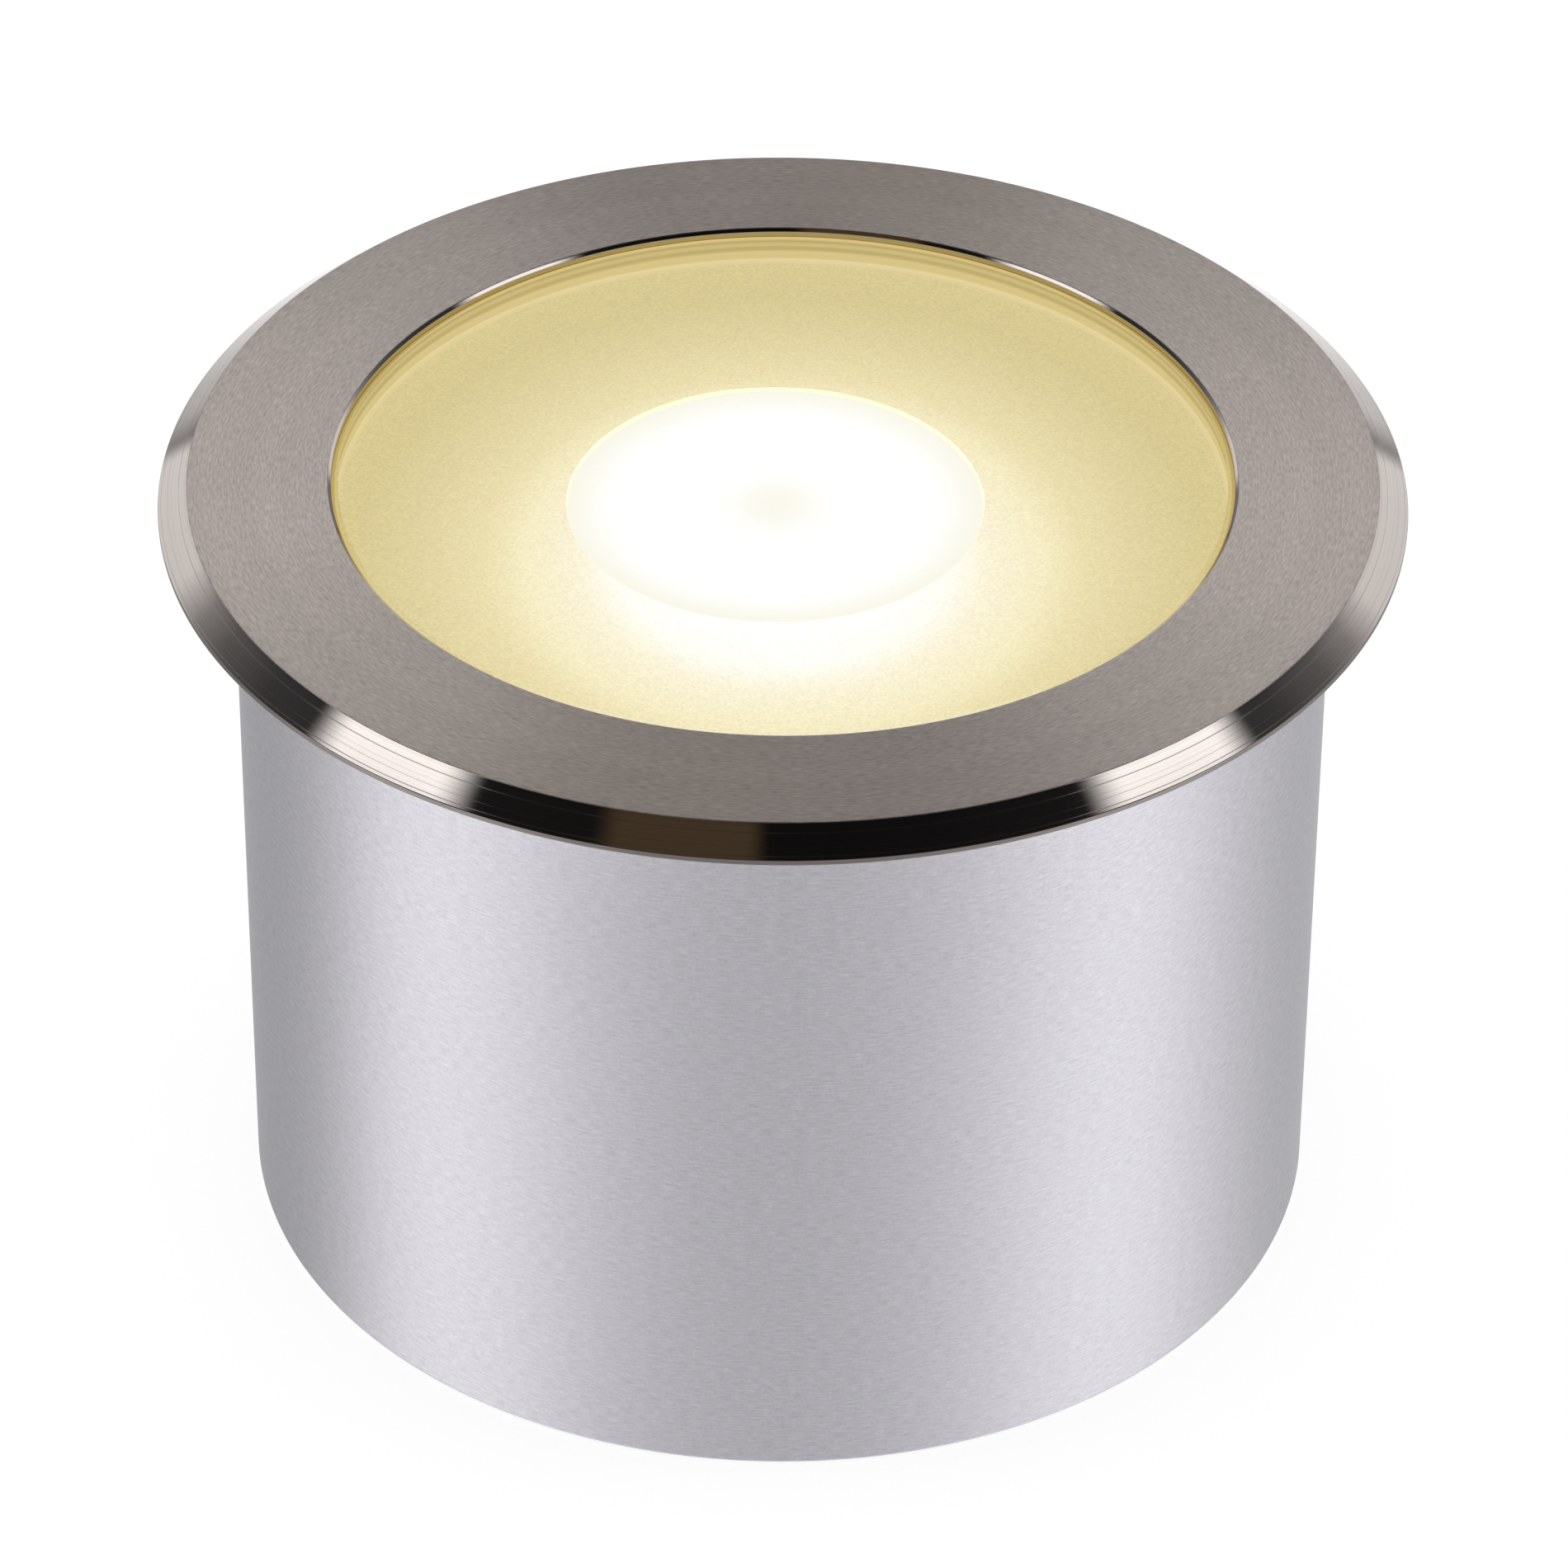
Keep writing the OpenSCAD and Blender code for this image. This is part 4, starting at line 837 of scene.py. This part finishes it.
# ---- LED board and thermal pad
# A round aluminium-core board under white solder mask, with copper tracks that show through it and
# silver lands, on a soft grey pad that carries its heat to the heat sink.
def board_paint(name, mask, track, pitch, rough=0.35):
    """A printed circuit board: tracks under a glossy mask, with round vias and a woven edge."""
    paint = Paint(name)
    place = paint.object_place()
    cells = paint.node("ShaderNodeTexVoronoi", {"distance": "CHEBYCHEV"},
                       {"Vector": place, "Scale": 1 / pitch, "Randomness": 0.7})
    runs = cells.step(0.28, 0.31) * (1 - cells.step(0.38, 0.41))
    dots = paint.node("ShaderNodeTexVoronoi", {}, {"Vector": place, "Scale": 0.6 / pitch})
    holes = 1 - dots.step(0.07, 0.1)
    weave = paint.noise(place, 1800.0, 2.0)
    tint = paint.blend(runs, paint.blend(weave, mask, tuple(c * 0.88 for c in mask)), track)
    tint = paint.blend(holes, tint, (0.55, 0.55, 0.56))
    bump = paint.bump(runs + weave * 0.2 - holes, 0.35, 0.00005)
    return paint.surface({
        "Base Color": tint, "Roughness": weave * 0.12 + (rough - 0.06),
        "Metallic": holes * 0.8, "Normal": bump})


white_board = board_paint("board_white", (0.86, 0.86, 0.83), (0.74, 0.74, 0.7), 0.004)
eased("led_board", 0.00008, white_board)
repaint("thermal_pad", rubber("pad_grey", (0.3, 0.34, 0.4), 0.75, 1600.0))
screws("board_screw_group", "board_screws", "housing",
       shank_r=0.0015, shank_l=0.0068, head_r=0.00275, head_h=0.0024,
       count=3, radius=0.0185, angle=90, middle=(disc_x, 0, 0.059))


# ---- Heat sink
# Milled from aluminium plate, with fins below. The mill leaves overlapping arcs on its flat faces
# and finer lines on the fins' sides.
mill_middle = (0.0, -0.16, 0.05)
milled = Paint("sink_metal")
place = milled.object_place()
east = milled.axis(place, "X")
bow = milled.vector("DISTANCE", place, mill_middle, output="Value")
arcs = milled.noise_along(bow, 2600.0, 3.0)
passes = milled.noise_along(east, 160.0)
stain = milled.noise(place, 50.0, 4.0, 0.6)
tint = milled.blend((arcs * 0.5 + passes * 0.2 + stain * 0.3).clamped(),
                    (0.52, 0.52, 0.54), (0.78, 0.78, 0.8))
eased("heat_sink", 0.0002, milled.surface({
    "Base Color": tint, "Metallic": 1.0, "Roughness": arcs * 0.12 + stain * 0.08 + 0.22,
    "Normal": milled.bump(arcs + passes * 0.3, 0.2, 0.00003)}))
screws("sink_screw_group", "heat_sink_screws", "housing",
       shank_r=0.0015, shank_l=0.0069, head_r=0.00275, head_h=0.0024,
       count=4, radius=0.05165, angle=45, middle=(0, 0, 0.0549))
eased("lead_grommet", 0.0002, black_rubber)


# ---- Driver
# A white moulded case with a lid, and in it a green circuit board with a taped transformer, two
# sleeved capacitors and the chips. It feeds the LED with a steady current.
driver_white = plastic("driver_plastic", (0.8, 0.8, 0.77), 0.45)
eased("driver_case", 0.00025, driver_white)
eased("driver_lid", 0.0002, driver_white)
green_board = board_paint("board_green", (0.02, 0.2, 0.08), (0.05, 0.33, 0.14), 0.003)
eased("driver_board", 0.0001, green_board)
tape_lap = 0.0011
tape = Paint("winding_tape")
place = tape.object_place()
height = tape.axis(place, "Z")
laps = (height / tape_lap).math("FRACT").step(0.86, 0.96)
crease = tape.noise(place, 700.0, 3.0)
tint = tape.blend((laps * 0.7 + crease * 0.3).clamped(), (0.78, 0.56, 0.08), (0.48, 0.32, 0.05))
eased("driver_transformer", 0.00012, tape.surface({
    "Base Color": tint, "Roughness": crease * 0.15 + 0.25,
    "Normal": tape.bump(crease - laps, 0.4, 0.00005)}))
can_sleeve = plastic("can_sleeve", (0.05, 0.07, 0.24), 0.25, 2200.0, 0.3)
chip_black = plastic("chip_black", (0.035, 0.035, 0.04), 0.5, 2600.0, 0.3)
eased("driver_capacitors", 0.00025, can_sleeve)
eased("driver_chips", 0.0001, chip_black)


# ---- Leads
# Stranded wires in coloured skins that were drawn over them, so that fine lines run along each one
# and they are a little glossy.
stripe_pitch = 0.0042


def lead_skin(name, colour, stripe=None):
    """The skin of a lead, with a second colour wound round it where it is an earth lead."""
    paint = Paint(name)
    place = paint.object_place()
    drawn = paint.noise(paint.vector("MULTIPLY", place, (900.0, 900.0, 160.0)), 1.0, 2.0)
    smut = paint.noise(place, 220.0, 3.0, 0.6)
    tint = paint.blend((smut.step(0.4, 0.75) * 0.5 + drawn * 0.2).clamped(),
                       colour, tuple(c * 0.62 for c in colour))
    if stripe:
        east = paint.axis(place, "X")
        north = paint.axis(place, "Y")
        run = ((east + north) / stripe_pitch).math("FRACT")
        tint = paint.blend(run.step(0.6, 0.63) * (1 - run.step(0.96, 0.99)), tint, stripe)
    bump = paint.bump(drawn, 0.2, 0.00003)
    return paint.surface({
        "Base Color": tint, "Roughness": drawn * 0.1 + smut * 0.1 + 0.25, "Normal": bump})


repaint("led_lead_positive", lead_skin("lead_red", (0.6, 0.03, 0.025)))
repaint("led_lead_negative", lead_skin("lead_black", (0.025, 0.025, 0.025)))
repaint("supply_lead_live", lead_skin("lead_brown", (0.2, 0.08, 0.03)))
repaint("supply_lead_neutral", lead_skin("lead_blue", (0.04, 0.14, 0.5)))
repaint("earth_lead", lead_skin("lead_green", (0.1, 0.42, 0.05), (0.75, 0.62, 0.05)))


# ---- Terminal block and earth
# A moulded block with a brass tube and two nickel-plated screws for each pole, and a tinned ring
# tag that a screw holds on the bottom cover for the earth.
brass = turned_metal("brass", (0.78, 0.58, 0.24), 0.28, 3600.0, tooth=0.3, grain=0.3)
plated = turned_metal("tinned", (0.7, 0.7, 0.71), 0.3, 3600.0, tooth=0.35, grain=0.3)
terminal_plastic = plastic("terminal_plastic", (0.76, 0.78, 0.74), 0.4)
eased("terminal_block", 0.0002, terminal_plastic)
eased("terminal_clamps", 0.0001, brass)
eased("terminal_screws", 0.0001, plated)
eased("earth_tag", 0.00008, plated)
eased("earth_screw", 0.0001, brass)
eased("base_screws", 0.00012, screw_steel)


# ---- Bottom cover
# Cast aluminium with a grainy skin and a ring of blind pockets underneath. Six larger screws pull
# it up against a flat rubber ring under the shelf ring.
def cast_metal(name, colour, rough=0.5):
    """Cast aluminium: a pebbled skin with a few pits, duller in its hollows."""
    paint = Paint(name)
    place = paint.object_place()
    pebble = paint.noise(place, 900.0, 3.0, 0.6)
    cloud = paint.noise(place, 40.0, 4.0, 0.6)
    dots = paint.node("ShaderNodeTexVoronoi", {}, {"Vector": place, "Scale": 420.0})
    pits = 1 - dots.step(0.05, 0.16)
    tint = paint.blend((pebble * 0.4 + cloud * 0.6 - pits * 0.4).clamped(),
                       tuple(c * 0.72 for c in colour), colour)
    bump = paint.bump(pebble - pits, 0.45, 0.00008)
    return paint.surface({
        "Base Color": tint, "Metallic": 0.9,
        "Roughness": pebble * 0.14 + cloud * 0.08 + (rough - 0.1), "Normal": bump})


eased("bottom_cover", 0.0002, cast_metal("cover_metal", (0.66, 0.66, 0.68)))
repaint("bottom_seal", black_rubber)
screws("cover_screw_group", "bottom_cover_screws", "housing",
       shank_r=0.002, shank_l=0.0095, head_r=0.0035, head_h=0.0026,
       count=6, radius=0.05085, angle=30, middle=(0, 0, 0.028), down=True)


# ---- Cable gland
# Black nylon, moulded: a body with a hexagon through the bottom cover, a washer, a locknut, a
# slotted clamp with a rubber bush in it, and the cap nut that squeezes them on the cable.
nylon = plastic("gland_plastic", (0.028, 0.028, 0.031), 0.45, 1800.0, 0.6)
eased("gland_body", 0.0002, nylon)
eased("gland_locknut", 0.0002, nylon)
eased("gland_cap", 0.0002, nylon)
eased("gland_clamp", 0.0001, plastic("clamp_plastic", (0.76, 0.76, 0.73), 0.4))
repaint("gland_seal", black_rubber)
repaint("gland_washer", black_rubber)
